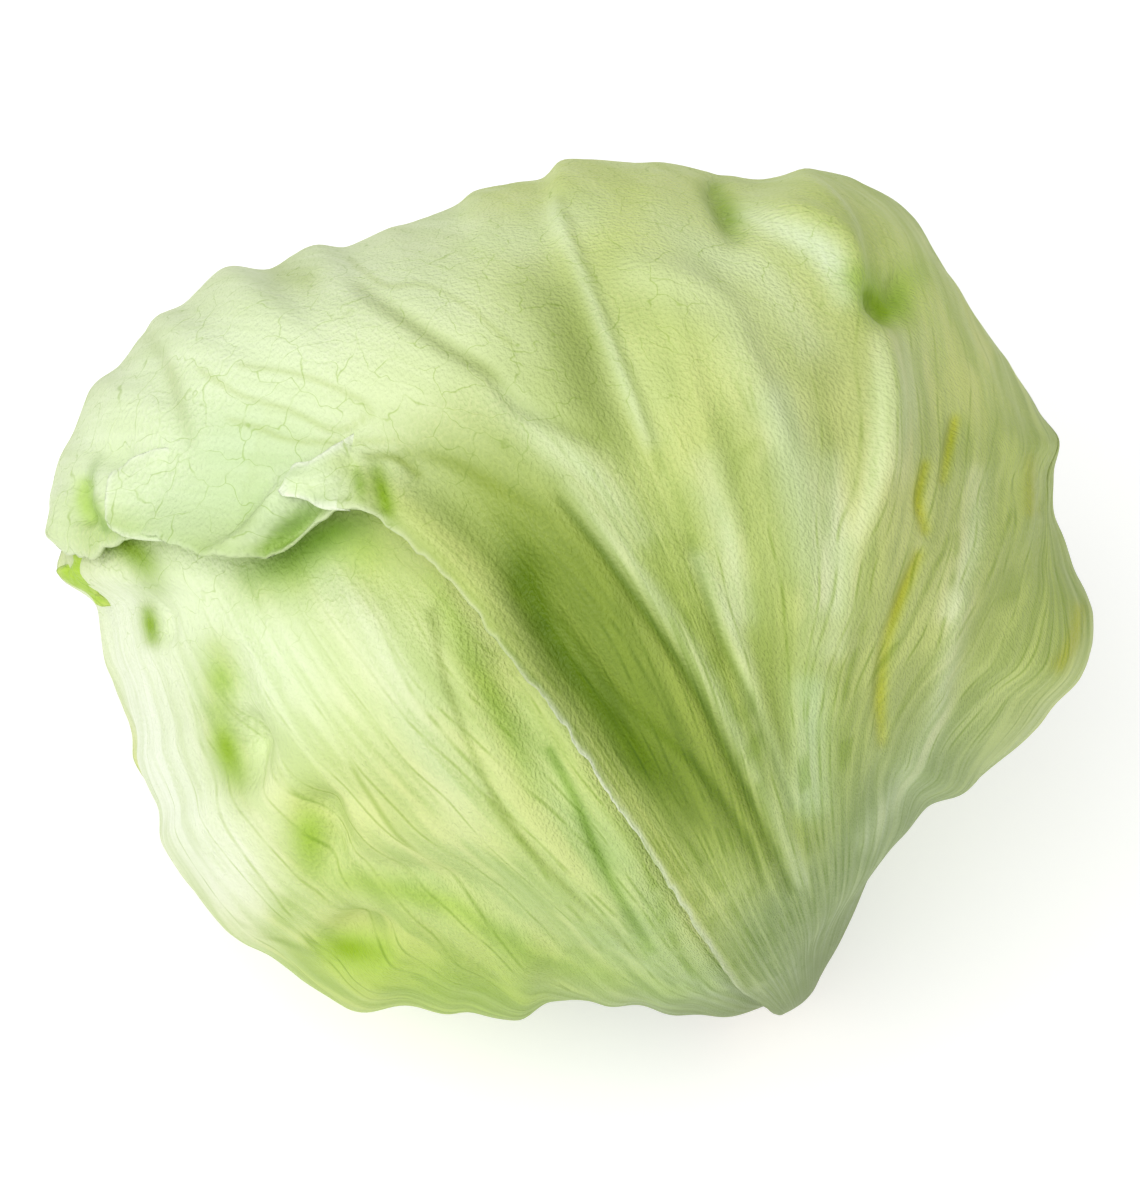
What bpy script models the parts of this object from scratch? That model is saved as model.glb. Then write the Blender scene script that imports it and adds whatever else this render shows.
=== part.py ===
"""An iceberg lettuce resting on a table: a cut stem, a dense heart and the loose leaves wrapped round it.

The head is described as its best side is seen, face on: x to the right, y up and z towards the eye. Its skin
is one radius for each direction from the middle of the head. Every leaf is a sheet laid on that skin at its own
depth, so the leaves wrap each other without touching. Places on the skin are given on a round map with the
crown in its middle and the stem all round its rim, in degrees from the crown and degrees round the stem's axis.
"""

import math

import bmesh
import bpy
import numpy as np
from mathutils import Vector, noise

MM = 0.001

# How the head lies on the table
FACE_ELEVATION = math.radians(50.0)
CENTRE_HEIGHT = 70.0 * MM
STEM_BEARING = math.radians(-62.0)
STEM_TURNED_AWAY = math.radians(10.0)

# The head's outline seen face on: degrees round the middle, and millimetres out from it
OUTLINE = (
    (-175, 84.0), (-165, 83.0), (-155, 85.0), (-145, 88.0), (-135, 88.0), (-128, 85.6), (-122, 86.2),
    (-117, 86.4), (-110, 80.6), (-100, 78.4), (-90, 74.4), (-82, 77.0), (-75, 81.0), (-68, 84.0),
    (-61, 84.0), (-55, 79.5), (-50, 76.5), (-45, 74.2), (-40, 71.5), (-33, 72.5), (-25, 77.5),
    (-20, 81.0), (-15, 84.8), (-8, 90.2), (-2, 89.8), (5, 88.2), (11, 85.0), (20, 88.2), (27, 87.2),
    (33, 86.2), (40, 87.1), (48, 88.5), (55, 87.0), (60, 84.0), (66, 77.2), (75, 77.0), (85, 76.0),
    (100, 72.4), (110, 70.3), (120, 71.4), (130, 75.6), (140, 83.2), (150, 87.2), (160, 90.5),
    (168, 92.8), (175, 93.0),
)
SHARP_BLUR = math.radians(4.0)
SOFT_BLUR = math.radians(32.0)
# Where the sharp outline takes over from the soft one, as a share of the way out to the edge
EDGE_START = 0.62
EDGE_END = 0.97
FRONT_DEPTH = 79.0 * MM
BACK_DEPTH = 74.0 * MM
NECK_DEPTH = 0.11
NECK_ANGLE = 24.0
NECK_WIDTH = 13.0

# Ridges and valleys that the crown and the ribs press into the skin, as (x, y, height) seen face on in
# millimetres, each with its half width. Heights below 0 are valleys.
SKIN_FOLDS = (
    (7.0, ((-42, 26, -1), (-25, 22, -3), (-12, 13, -5), (-2, 0, -6), (9, -16, -5.5), (21, -35, -4), (35, -55, -1))),
    (14.0, ((-71, 34, 2), (-55, 42, 3.5), (-30, 42, 3), (-9, 30, 2))),
    (6.0, ((-2, 60, -1.5), (5, 44, -3), (11, 28, -3), (19, 12, -2.5), (30, -9, -1))),
    (5.0, ((12, 58, 1), (19, 53, 3), (26, 44, 2.5), (35, 28, 2), (41, 5, 1.5), (46, -19, 1))),
    (5.0, ((30, 71, 2), (39, 67, 4), (46, 60, 5), (49, 53, 4))),
    (5.5, ((53, 60, -3), (56, 51, -5))),
    (4.5, ((49, 51, 1), (53, 42, 3), (55, 30, 3), (55, 16, 2), (53, -2, 1))),
    (6.0, ((76, 5, -2), (69, -16, -3), (58, -37, -1.5))),
    (4.5, ((85, 25, 3), (78, 12, 2.5), (71, -5, 2), (62, -30, 1))),
    (5.5, ((91, -5, 3), (83, -16, 2.5), (72, -30, 1.5), (58, -48, 1))),
    (5.5, ((-40, 0, 1), (-30, -16, 2), (-21, -29, 2.5), (-5, -47, 2.5), (12, -61, 2), (26, -68, 1))),
    (4.5, ((-20, -2, -2), (-14, -13, -4), (-8, -25, -4), (-2, -37, -2.5), (5, -48, -1.5))),
    (5.0, ((-63, -16, -1.5), (-62, -21, -2.5), (-60, -29, -4.5))),
    (4.5, ((-46, -41, -3.5), (-44, -46, -3))),
    (4.5, ((-40, -64, -4), (-36, -65, -3))),
    (6.0, ((-42, -51, -1), (-30, -53, -3), (-18, -56, -3.5), (-2, -65, -2.5), (12, -71, -1))),
    (8.0, ((-55, 5, -2), (-42, 5, -4), (-34, 3, -4.5), (-25, -2, -3))),
)
FOLD_STEPS = 4
FOLD_FADE_START = -12.0
FOLD_FADE_END = 16.0
# Plain pleats and bumps, in millimetres, for the side that the folds above don't reach
PLEATS = 11.0
PLEAT_TWIST = 2.6
PLEAT_SHARE = 3.0
PLEAT_HEIGHT = 1.6
# Degrees from the stem where the pleats start, are full, begin to fade and end
PLEAT_FADES = (12.0, 45.0, 110.0, 170.0)
BUMP_HEIGHT = 2.0
BUMP_FADE = 1.2
BUMP_PITCH = 0.032

# The stem: its radius, and how far from the head's middle it ends and begins
STEM_RADIUS = 12.5 * MM
STEM_TOP_RADIUS = 10.5 * MM
STEM_END = 79.5 * MM
STEM_TOP = 46.0 * MM
STEM_CHAMFER = 1.2 * MM
STEM_SIDES = 32
CLEARANCE = 0.4 * MM

# The leaves' places in the pile, and their thickness at the tip and at the foot
LAYER = 2.7 * MM
BLADE = 0.9 * MM
FOOT_BLADE = 1.4 * MM
THICK_FOOT_SHARE = 0.3
# The small waves of a leaf's free edges: how far in they reach, as a share of the leaf, and how many there are
WAVE_REACH = 0.09
TIP_WAVES = 8.0
SIDE_WAVES = 7.0
SIDE_WAVES_START = 0.5
SIDE_WAVES_FULL = 0.7
HEART_DEPTH = 10.5 * MM
HEART_SIDES = 32
HEART_RINGS = 18
HEART_LEAVES = 5.0
HEART_STEP = 1.6 * MM
# The least downward share of a direction for which the table is looked for under it
LEAST_DOWN = 0.05


def unit(vector):
    """The vector or vectors at length one."""
    vector = np.asarray(vector, float)
    return vector / np.linalg.norm(vector, axis=-1, keepdims=True)


STEM_AXIS = np.array(
    [
        math.cos(STEM_BEARING) * math.cos(STEM_TURNED_AWAY),
        math.sin(STEM_BEARING) * math.cos(STEM_TURNED_AWAY),
        -math.sin(STEM_TURNED_AWAY),
    ]
)
AXIS_FRONT = unit(np.array([0.0, 0.0, 1.0]) - STEM_AXIS[2] * STEM_AXIS)
AXIS_RIGHT = np.cross(AXIS_FRONT, STEM_AXIS)
FACE_TO_WORLD = np.array(
    [
        [1.0, 0.0, 0.0],
        [0.0, math.sin(FACE_ELEVATION), -math.cos(FACE_ELEVATION)],
        [0.0, math.cos(FACE_ELEVATION), math.sin(FACE_ELEVATION)],
    ]
)


def to_world(points):
    """Face-on points about the head's middle, as world points above the table."""
    return points @ FACE_TO_WORLD.T + np.array([0.0, 0.0, CENTRE_HEIGHT])


def smoothstep(low, high, value):
    """0 below low, 1 above high, and a smooth rise between them."""
    share = np.clip((value - low) / (high - low), 0.0, 1.0)
    return share * share * (3.0 - 2.0 * share)


def map_to_direction(place):
    """A complex place on the round map, in degrees from the crown, as a face-on unit vector."""
    from_stem = np.radians(180.0 - np.abs(place))
    turn = np.angle(place)
    return (
        np.cos(from_stem)[..., None] * STEM_AXIS
        + (np.sin(from_stem) * np.cos(turn))[..., None] * AXIS_FRONT
        + (np.sin(from_stem) * np.sin(turn))[..., None] * AXIS_RIGHT
    )


def outline_radius(angle, blur):
    """The outline's radius at an angle, as a mean of its points weighted by how near they are."""
    angles = np.radians([point[0] for point in OUTLINE])
    radii = np.array([point[1] for point in OUTLINE]) * MM
    spacing = (np.roll(angles, -1) - np.roll(angles, 1)) % (2.0 * math.pi)
    apart = (np.asarray(angle)[..., None] - angles + math.pi) % (2.0 * math.pi) - math.pi
    weights = np.exp(-((apart / blur) ** 2)) * spacing
    return (weights * radii).sum(-1) / weights.sum(-1)


def neck(direction):
    """How far the head draws in towards its stem, as a factor on its radius."""
    from_stem = np.degrees(np.arccos(np.clip(direction @ STEM_AXIS, -1.0, 1.0)))
    return 1.0 - NECK_DEPTH * np.exp(-(((from_stem - NECK_ANGLE) / NECK_WIDTH) ** 2))


def neck_at_outline(angle):
    """The neck's factor where the outline has this angle."""
    edge = np.stack([np.cos(angle), np.sin(angle), np.zeros_like(angle)], axis=-1)
    return neck(edge)


def skin_radius(direction):
    """The radius of the head's skin in each face-on direction."""
    across = np.hypot(direction[..., 0], direction[..., 1])
    angle = np.arctan2(direction[..., 1], direction[..., 0])
    edge_share = smoothstep(EDGE_START, EDGE_END, across)
    sharp = outline_radius(angle, SHARP_BLUR) / neck_at_outline(angle)
    soft = outline_radius(angle, SOFT_BLUR) / neck_at_outline(angle)
    wide = soft + (sharp - soft) * edge_share
    deep = np.where(direction[..., 2] > 0.0, FRONT_DEPTH, BACK_DEPTH)
    ball = 1.0 / np.sqrt((across / wide) ** 2 + (direction[..., 2] / deep) ** 2)
    return ball * neck(direction)


def spline(knots, values, at):
    """A smooth curve through values at the knots, read at other places. Values may be complex, or rows."""
    knots = np.asarray(knots, float)
    values = np.asarray(values)
    slopes = np.gradient(values, knots, axis=0)
    left = np.clip(np.searchsorted(knots, at, side="right") - 1, 0, len(knots) - 2)
    span = knots[left + 1] - knots[left]
    t = (at - knots[left]) / span
    if values.ndim > 1:
        span = span[:, None]
        t = t[:, None]
    return (
        (1.0 + 2.0 * t) * (1.0 - t) ** 2 * values[left]
        + t * (1.0 - t) ** 2 * span * slopes[left]
        + t * t * (3.0 - 2.0 * t) * values[left + 1]
        + t * t * (t - 1.0) * span * slopes[left + 1]
    )


def lift_along(places, folds):
    """The height of ridges and valleys at complex places: each is a line of (x, y, height) and a half width."""
    height = np.zeros(places.shape)
    for width, line in folds:
        line = np.array(line, float)
        knots = np.arange(len(line))
        steps = np.linspace(0.0, len(line) - 1.0, (len(line) - 1) * FOLD_STEPS + 1)
        drawn = spline(knots, line, steps)
        corners = drawn[:, 0] + 1j * drawn[:, 1]
        nearest = np.full(places.shape, np.inf)
        peak = np.zeros(places.shape)
        for start, end, low, high in zip(corners[:-1], corners[1:], drawn[:-1, 2], drawn[1:, 2]):
            along = ((places - start) * np.conj(end - start)).real / abs(end - start) ** 2
            along = np.clip(along, 0.0, 1.0)
            apart = np.abs(places - start - along * (end - start))
            closer = apart < nearest
            nearest = np.where(closer, apart, nearest)
            peak = np.where(closer, low + along * (high - low), peak)
        height += peak * np.exp(-((nearest / width) ** 2))
    return height


def head_radius(direction):
    """The skin's radius with its folds: those seen face on, and plain pleats and bumps on the far side."""
    radius = skin_radius(direction)
    skin = direction * radius[..., None] / MM
    front = smoothstep(FOLD_FADE_START, FOLD_FADE_END, skin[..., 2])
    height = lift_along(skin[..., 0] + 1j * skin[..., 1], SKIN_FOLDS) * front
    from_stem = np.degrees(np.arccos(np.clip(direction @ STEM_AXIS, -1.0, 1.0)))
    turn = np.arctan2(direction @ AXIS_RIGHT, direction @ AXIS_FRONT)
    pleats = np.sin(PLEATS * turn + PLEAT_TWIST * np.radians(from_stem)) * np.sin(PLEAT_SHARE * turn)
    start, full, fading, end = PLEAT_FADES
    pleats = pleats * smoothstep(start, full, from_stem) * smoothstep(end, fading, from_stem)
    rough = np.array([noise.noise(Vector(point) * BUMP_PITCH) for point in skin.reshape(-1, 3)])
    rough = rough.reshape(radius.shape)
    height = height + (1.0 - front) * PLEAT_HEIGHT * pleats + BUMP_HEIGHT * rough * (BUMP_FADE - front)
    return radius + height * MM


# Each leaf by its ribs, from one side edge to the other: the turn round the stem where the rib leaves it, then
# the places it passes on the round map, in degrees from the crown, towards the eye and towards the right
TOP_RIBS = (
    (-9, (115, -14), (81, -15), (57, -21), (49, -37), (33, -45), (17, -50), (-5, -55)),
    (4, (112, 4), (80, 0), (57, -9), (44, -25), (28, -36), (12, -43), (-14, -49)),
    (18, (112, 18), (82, 16), (56, 8), (36, -10), (18, -24), (-2, -33), (-28, -40)),
    (34, (106, 42), (80, 38), (52, 26), (28, 8), (4, -8), (-18, -18), (-39, -26)),
    (52, (86, 68), (64, 58), (40, 42), (16, 24), (-8, 8), (-28, -2), (-46, -10)),
    (72, (48, 98), (38, 80), (22, 62), (4, 44), (-14, 28), (-32, 17), (-50, 8)),
    (92, (0, 110), (-2, 94), (-8, 78), (-18, 62), (-29, 48), (-40, 37), (-51, 28)),
    (108, (-34, 106), (-32, 95), (-34, 85), (-39, 75), (-44, 65), (-49, 56), (-54, 48)),
    (120, (-56, 104), (-50, 98), (-49, 92), (-51, 86), (-54, 80), (-56, 75), (-59, 70)),
)
FRONT_RIBS = (
    (14, (108, 8), (74, 6), (44, -10)),
    (-4, (112, -10), (78, -12), (44, -22)),
    (-20, (114, -32), (78, -32), (40, -30)),
    (-38, (102, -58), (68, -48), (30, -37)),
    (-58, (78, -80), (52, -64), (20, -42)),
    (-78, (42, -98), (32, -78), (12, -47)),
    (-96, (0, -104), (8, -84), (4, -57)),
    (-112, (-30, -100), (-14, -88), (-4, -74)),
)
LEFT_RIBS = (
    (-98, (-12, -102), (-6, -82), (-4, -62)),
    (-112, (-36, -92), (-24, -70), (-10, -48)),
    (-135, (-72, -70), (-46, -50), (-20, -34)),
    (-160, (-96, -34), (-66, -28), (-34, -20)),
    (-184, (-100, 8), (-72, 0), (-40, -8)),
    (-206, (-86, 44), (-64, 28), (-42, 12)),
)
RIGHT_RIBS = (
    (84, (8, 100), (-4, 80), (-18, 52)),
    (102, (-32, 98), (-34, 74), (-32, 44)),
    (120, (-66, 78), (-54, 52), (-38, 28)),
    (138, (-90, 50), (-70, 26), (-44, 10)),
    (156, (-102, 22), (-78, 0), (-50, -8)),
    (172, (-104, -2), (-80, -20), (-56, -22)),
)
# Where a leaf's edge stands off the leaves below it, as (towards the eye, towards the right, millimetres) on
# the round map, each line with its half width in degrees
TOP_LIFTS = (
    (4.5, ((134, -18, 0.5), (115, -14, 1.5), (89, -15, 3), (69, -16, 4), (62, -19, 5), (57, -21, 5))),
    (4.0, ((57, -21, 1), (53, -31, 3.5), (47, -39, 4.5), (37, -44, 4), (25, -47, 3), (10, -52, 2.5), (-5, -55, 2))),
    (4.0, ((-14, -49, 2), (-28, -40, 1), (-39, -26, 3), (-46, -10, 1), (-50, 8, 3), (-51, 28, 1), (-59, 70, 3))),
)
FRONT_LIFTS = ((4.0, ((-30, -100, 0.5), (-14, -88, 2), (-4, -74, 2.5), (2, -62, 1))),)
LEFT_LIFTS = ((3.0, ((-5, -62, 7), (-9, -67, 4), (-14, -73, 1))),)
RIGHT_LIFTS = ((4.0, ((-104, -2, 1), (-92, -14, 3), (-80, -20, 1), (-68, -22, 3), (-56, -22, 1))),)
# Each leaf's ribs, lifts, depth in layers, height of its edge waves, and columns and rows of its grid
LEAVES = {
    "top_leaf": (TOP_RIBS, TOP_LIFTS, 0, 1.6, 40, 34),
    "front_leaf": (FRONT_RIBS, FRONT_LIFTS, 1, 0.4, 26, 24),
    "left_leaf": (LEFT_RIBS, LEFT_LIFTS, 2.2, 1.0, 20, 20),
    "right_leaf": (RIGHT_RIBS, RIGHT_LIFTS, 1.2, 0.8, 20, 20),
}
COLOURS = {
    "stem": (0.62, 0.60, 0.42),
    "heart": (0.78, 0.82, 0.48),
    "top_leaf": (0.46, 0.60, 0.20),
    "front_leaf": (0.66, 0.78, 0.38),
    "left_leaf": (0.50, 0.62, 0.24),
    "right_leaf": (0.48, 0.60, 0.22),
}
LEAF_ROUGHNESS = 0.5


def leaf_places(ribs, below, across, along):
    """The map places of a leaf's grid, one row of places for each share across it."""
    foot_height = STEM_END - below - FOOT_BLADE
    foot_distance = 180.0 - math.degrees(math.asin((STEM_RADIUS + CLEARANCE) / foot_height))
    drawn = []
    for turn, *rib in ribs:
        foot = foot_distance * np.exp(1j * math.radians(turn))
        places = np.array([foot] + [complex(*place) for place in rib])
        lengths = np.concatenate([[0.0], np.cumsum(np.abs(np.diff(places)))])
        drawn.append(spline(lengths / lengths[-1], places, along))
    return spline(np.linspace(0.0, 1.0, len(ribs)), np.array(drawn), across)


def edge_waves(across, along):
    """The waves of a leaf's tip and side edges, from 0 to 1, one row for each share across it."""
    across = across[:, None]
    along = along[None, :]
    tip = np.exp(-(((1.0 - along) / WAVE_REACH) ** 2))
    side = np.exp(-((np.minimum(across, 1.0 - across) / WAVE_REACH) ** 2))
    side = side * smoothstep(SIDE_WAVES_START, SIDE_WAVES_FULL, along) * (1.0 - tip)
    tip = tip * (0.5 + 0.5 * np.sin(2.0 * math.pi * TIP_WAVES * across))
    return tip + side * (0.5 + 0.5 * np.sin(2.0 * math.pi * SIDE_WAVES * along))


def cut_by_table(direction, radius, height):
    """The radii, cut where they would reach further down than this height."""
    down = -(direction @ FACE_TO_WORLD.T)[..., 2]
    return np.minimum(radius, np.where(down > LEAST_DOWN, height / np.maximum(down, LEAST_DOWN), np.inf))


def leaf_skins(ribs, lifts, below, waves, across, along):
    """World points of a leaf's outer and inner faces."""
    place = leaf_places(ribs, below, across, along)
    direction = map_to_direction(place)
    lift = lift_along(place, lifts) + waves * edge_waves(across, along)
    outer = cut_by_table(direction, head_radius(direction) - below + lift * MM, CENTRE_HEIGHT)
    blade = FOOT_BLADE + (BLADE - FOOT_BLADE) * smoothstep(0.0, THICK_FOOT_SHARE, along)
    return to_world(direction * outer[..., None]), to_world(direction * (outer - blade)[..., None])


def finish_mesh(name, mesh_edit, collection):
    """Turns the edited mesh into a named object with its own material."""
    bmesh.ops.triangulate(mesh_edit, faces=mesh_edit.faces)
    bmesh.ops.recalc_face_normals(mesh_edit, faces=mesh_edit.faces)
    mesh = bpy.data.meshes.new(name)
    mesh_edit.to_mesh(mesh)
    mesh_edit.free()
    thing = bpy.data.objects.new(name, mesh)
    collection.objects.link(thing)
    material = bpy.data.materials.new(name)
    material.use_nodes = True
    shader = material.node_tree.nodes["Principled BSDF"]
    shader.inputs["Base Color"].default_value = (*COLOURS[name], 1.0)
    shader.inputs["Roughness"].default_value = LEAF_ROUGHNESS
    mesh.materials.append(material)
    return thing


def build_leaf(name, collection):
    """A leaf as a grid laid on the head, with the same triangles on its inner face."""
    ribs, lifts, layers, waves, columns, rows = LEAVES[name]
    across = np.linspace(0.0, 1.0, columns + 1)
    along = np.linspace(0.0, 1.0, rows + 1)
    outer, inner = leaf_skins(ribs, lifts, layers * LAYER, waves, across, along)
    blade = bmesh.new()
    source = blade.verts.layers.int.new("source")
    bmesh.ops.create_grid(blade, x_segments=columns, y_segments=rows, size=0.5)
    bmesh.ops.triangulate(blade, faces=blade.faces)
    for vertex in blade.verts:
        column = round((vertex.co.x + 0.5) * columns)
        row = round((vertex.co.y + 0.5) * rows)
        vertex[source] = column * (rows + 1) + row
    faces = list(blade.faces)
    copy = bmesh.ops.duplicate(blade, geom=list(blade.verts) + list(blade.edges) + faces)
    rims = [edge for edge in blade.edges if edge.is_boundary]
    below = {item for item in copy["geom"] if isinstance(item, bmesh.types.BMVert)}
    for vertex in blade.verts:
        column, row = divmod(vertex[source], rows + 1)
        vertex.co = inner[column, row] if vertex in below else outer[column, row]
    bmesh.ops.bridge_loops(blade, edges=rims)
    return finish_mesh(name, blade, collection)


def build_stem(collection):
    """The cut stem: a tapered butt with its edges broken, set along its own axis."""
    stem = bmesh.new()
    bmesh.ops.create_cone(
        stem,
        cap_ends=True,
        segments=STEM_SIDES,
        radius1=STEM_TOP_RADIUS,
        radius2=STEM_RADIUS,
        depth=STEM_END - STEM_TOP,
    )
    rims = [edge for edge in stem.edges if any(len(face.verts) > 4 for face in edge.link_faces)]
    bmesh.ops.bevel(stem, geom=rims, offset=STEM_CHAMFER, segments=2, profile=0.5, affect="EDGES")
    butt = finish_mesh("stem", stem, collection)
    butt.rotation_mode = "QUATERNION"
    butt.rotation_quaternion = Vector(FACE_TO_WORLD @ STEM_AXIS).to_track_quat("Z", "Y")
    butt.location = to_world(0.5 * (STEM_TOP + STEM_END) * STEM_AXIS)
    return butt


def build_heart(collection):
    """The dense middle of the head: leaves packed too close to part, with their edges as low steps."""
    heart = bmesh.new()
    bmesh.ops.create_uvsphere(heart, u_segments=HEART_SIDES, v_segments=HEART_RINGS, radius=1.0)
    ball = unit(np.array([vertex.co for vertex in heart.verts]))
    direction = ball[:, 2:3] * STEM_AXIS + ball[:, 0:1] * AXIS_FRONT + ball[:, 1:2] * AXIS_RIGHT
    from_stem = np.arccos(np.clip(ball[:, 2], -1.0, 1.0))
    turn = np.arctan2(ball[:, 1], ball[:, 0])
    lap = (HEART_LEAVES * turn / (2.0 * math.pi) + from_stem / math.pi) % 1.0
    step = HEART_STEP * lap * np.sin(from_stem)
    radius = head_radius(direction) - HEART_DEPTH - step
    cut = (STEM_TOP - CLEARANCE) / np.maximum(ball[:, 2], LEAST_DOWN)
    radius = np.minimum(radius, np.where(ball[:, 2] > LEAST_DOWN, cut, np.inf))
    radius = cut_by_table(direction, radius, CENTRE_HEIGHT - HEART_DEPTH + 2.0 * LAYER)
    for vertex, point in zip(heart.verts, to_world(direction * radius[:, None])):
        vertex.co = point
    return finish_mesh("heart", heart, collection)


def main():
    """Clears the scene and builds the lettuce."""
    for thing in list(bpy.data.objects):
        bpy.data.objects.remove(thing, do_unlink=True)
    lettuce = bpy.data.collections.new("iceberg_lettuce")
    bpy.context.scene.collection.children.link(lettuce)
    build_stem(lettuce)
    build_heart(lettuce)
    for name in LEAVES:
        build_leaf(name, lettuce)


if __name__ == "__main__":
    main()
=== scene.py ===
"""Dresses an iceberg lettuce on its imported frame: crumpled, veined leaves round a heart and a cut stem.

The head is described as its best side is seen, face on: x to the right, y up and z towards the eye, in
millimetres from its middle. Its skin is one radius for each direction, and each leaf is a sheet laid on
that skin. Places on a leaf are given on a round map with the crown in its middle and the stem all round its
rim, in degrees from the crown. Folds and strokes of colour are smooth lines drawn face on, and the lifts of
a leaf are lines on its map.
"""

import logging
import math
from dataclasses import dataclass
from enum import Enum
from functools import cached_property, partial

import bmesh
import bpy
import numpy as np
from mathutils import Matrix, Vector, noise


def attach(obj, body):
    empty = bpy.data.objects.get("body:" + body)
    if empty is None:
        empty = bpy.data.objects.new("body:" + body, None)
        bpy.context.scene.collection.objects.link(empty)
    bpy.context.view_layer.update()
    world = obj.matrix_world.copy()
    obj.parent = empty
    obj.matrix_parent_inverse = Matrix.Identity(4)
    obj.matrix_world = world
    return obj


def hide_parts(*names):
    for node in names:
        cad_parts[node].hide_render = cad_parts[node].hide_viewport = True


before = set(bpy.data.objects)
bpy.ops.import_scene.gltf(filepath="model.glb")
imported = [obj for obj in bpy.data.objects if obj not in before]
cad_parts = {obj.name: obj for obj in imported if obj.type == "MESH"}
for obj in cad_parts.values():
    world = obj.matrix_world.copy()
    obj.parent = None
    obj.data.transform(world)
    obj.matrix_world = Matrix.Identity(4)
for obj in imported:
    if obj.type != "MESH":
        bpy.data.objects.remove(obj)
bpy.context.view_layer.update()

log = logging.getLogger("lettuce")
MM = 0.001
TINY = 1e-9
Array = np.ndarray
Socket = bpy.types.NodeSocket
Triple = tuple[float, float, float]


class Tone(Enum):
    """The colours of the leaves, from 0 to 255. Most are the leaves' own colours as they look in plain
    light. The shade, dent and base tones are painted shade. The valley, fresh and olive greens are partly
    painted shade where strokes lay them in creases, valleys, dents and under the lip.
    """

    FROST = (246, 253, 230)
    PALE = (229, 244, 198)
    MINT = (204, 228, 176)
    CREAM = (222, 236, 176)
    LIGHT = (208, 223, 136)
    FRESH = (156, 192, 52)
    # A fresh green, also used as painted shade under the lip and in dents and hollows.
    LEAF = (176, 195, 104)
    SAGE = (190, 200, 128)
    MEADOW = (180, 206, 134)
    # An olive green, also used as painted shade in the valley and along creases.
    OLIVE = (142, 162, 66)
    # Deep green of the dark ribs, and partly painted shade along the valley of the top leaf's fold.
    DEEP_GREEN_AND_SHADE = (94, 122, 8)
    # Painted shade: the saturated dark green of dents, grooves and creases, and of the shadow under the
    # lobe.
    DENT_SHADE = (136, 172, 12)
    YELLOW = (184, 190, 40)
    # Painted shade towards the stem, on the underside and lower right of the head.
    BASE = (158, 178, 118)
    FRILL = (178, 214, 70)
    SHADE = (112, 154, 22)
    CUT = (226, 216, 178)
    RUST = (168, 112, 66)

    @property
    def linear(self) -> Array:
        """The colour in linear light, from 0 to 1, by the usual curve of screens."""
        share = np.array(self.value) / 255.0
        return np.where(share <= 0.04045, share / 12.92, ((share + 0.055) / 1.055) ** 2.4)

    @property
    def paint(self) -> tuple[float, float, float, float]:
        """The colour in linear light with a full alpha, as a shader takes it."""
        return (*self.linear, 1.0)


def unit(vector: Array) -> Array:
    """The vector or vectors at length one."""
    vector = np.asarray(vector, float)
    return vector / np.linalg.norm(vector, axis=-1, keepdims=True)


def smoothstep(low: float, high: float, value: Array) -> Array:
    """0 below low, 1 above high, and a smooth rise between them."""
    share = np.clip((value - low) / (high - low), 0.0, 1.0)
    return share * share * (3.0 - 2.0 * share)


def spline(knots: Array, values: Array, at: Array) -> Array:
    """Reads a smooth curve through values at its knots.

    Args:
        knots: Where the values are given, rising.
        values: The values, which may be complex, or one row for each knot.
        at: Where the curve is read.

    Returns:
        The curve's value, or its row, at each place.
    """
    knots = np.asarray(knots, float)
    values = np.asarray(values)
    slopes = np.gradient(values, knots, axis=0)
    left = np.clip(np.searchsorted(knots, at, side="right") - 1, 0, len(knots) - 2)
    span = knots[left + 1] - knots[left]
    t = (at - knots[left]) / span
    if values.ndim > 1:
        span = span[:, None]
        t = t[:, None]
    return (
        (1.0 + 2.0 * t) * (1.0 - t) ** 2 * values[left]
        + t * (1.0 - t) ** 2 * span * slopes[left]
        + t * t * (3.0 - 2.0 * t) * values[left + 1]
        + t * t * (t - 1.0) * span * slopes[left + 1]
    )


def crumple(points: Array, seed: float) -> Array:
    """Reads smooth noise.

    Args:
        points: Where it is read, in waves of the noise.
        seed: Which noise it is.

    Returns:
        A value from about -1 to 1 at each point.
    """
    shift = Vector((seed, -seed, 0.5 * seed))
    flat = [noise.noise(Vector(point) + shift) for point in points.reshape(-1, 3)]
    return np.array(flat).reshape(points.shape[:-1])


@dataclass(frozen=True)
class Line:
    """A smooth line with a strength along it, which fades to both sides over its half width."""

    width: float
    points: tuple[Triple, ...]

    def spread(self, places: Array) -> Array:
        """The line's strength at complex places.

        Args:
            places: Where it is wanted, as complex numbers in the line's own plane.

        Returns:
            The strength at each place, 0 far from the line.
        """
        steps_between = 4
        reach = 3.0 * self.width
        line = np.array(self.points, float)
        steps = np.linspace(0.0, len(line) - 1.0, (len(line) - 1) * steps_between + 1)
        drawn = spline(np.arange(len(line)), line, steps)
        corners = drawn[:, 0] + 1j * drawn[:, 1]
        near = (np.abs(places.real - drawn[:, 0].mean()) < np.ptp(drawn[:, 0]) + reach) & (
            np.abs(places.imag - drawn[:, 1].mean()) < np.ptp(drawn[:, 1]) + reach
        )
        close = places[near]
        nearest = np.full(close.shape, np.inf)
        peak = np.zeros(close.shape)
        for start, end, low, high in zip(corners[:-1], corners[1:], drawn[:-1, 2], drawn[1:, 2]):
            along = ((close - start) * np.conj(end - start)).real / abs(end - start) ** 2
            along = np.clip(along, 0.0, 1.0)
            apart = np.abs(close - start - along * (end - start))
            closer = apart < nearest
            nearest = np.where(closer, apart, nearest)
            peak = np.where(closer, low + along * (high - low), peak)
        strength = np.zeros(places.shape)
        strength[near] = peak * np.exp(-((nearest / self.width) ** 2))
        return strength


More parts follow.
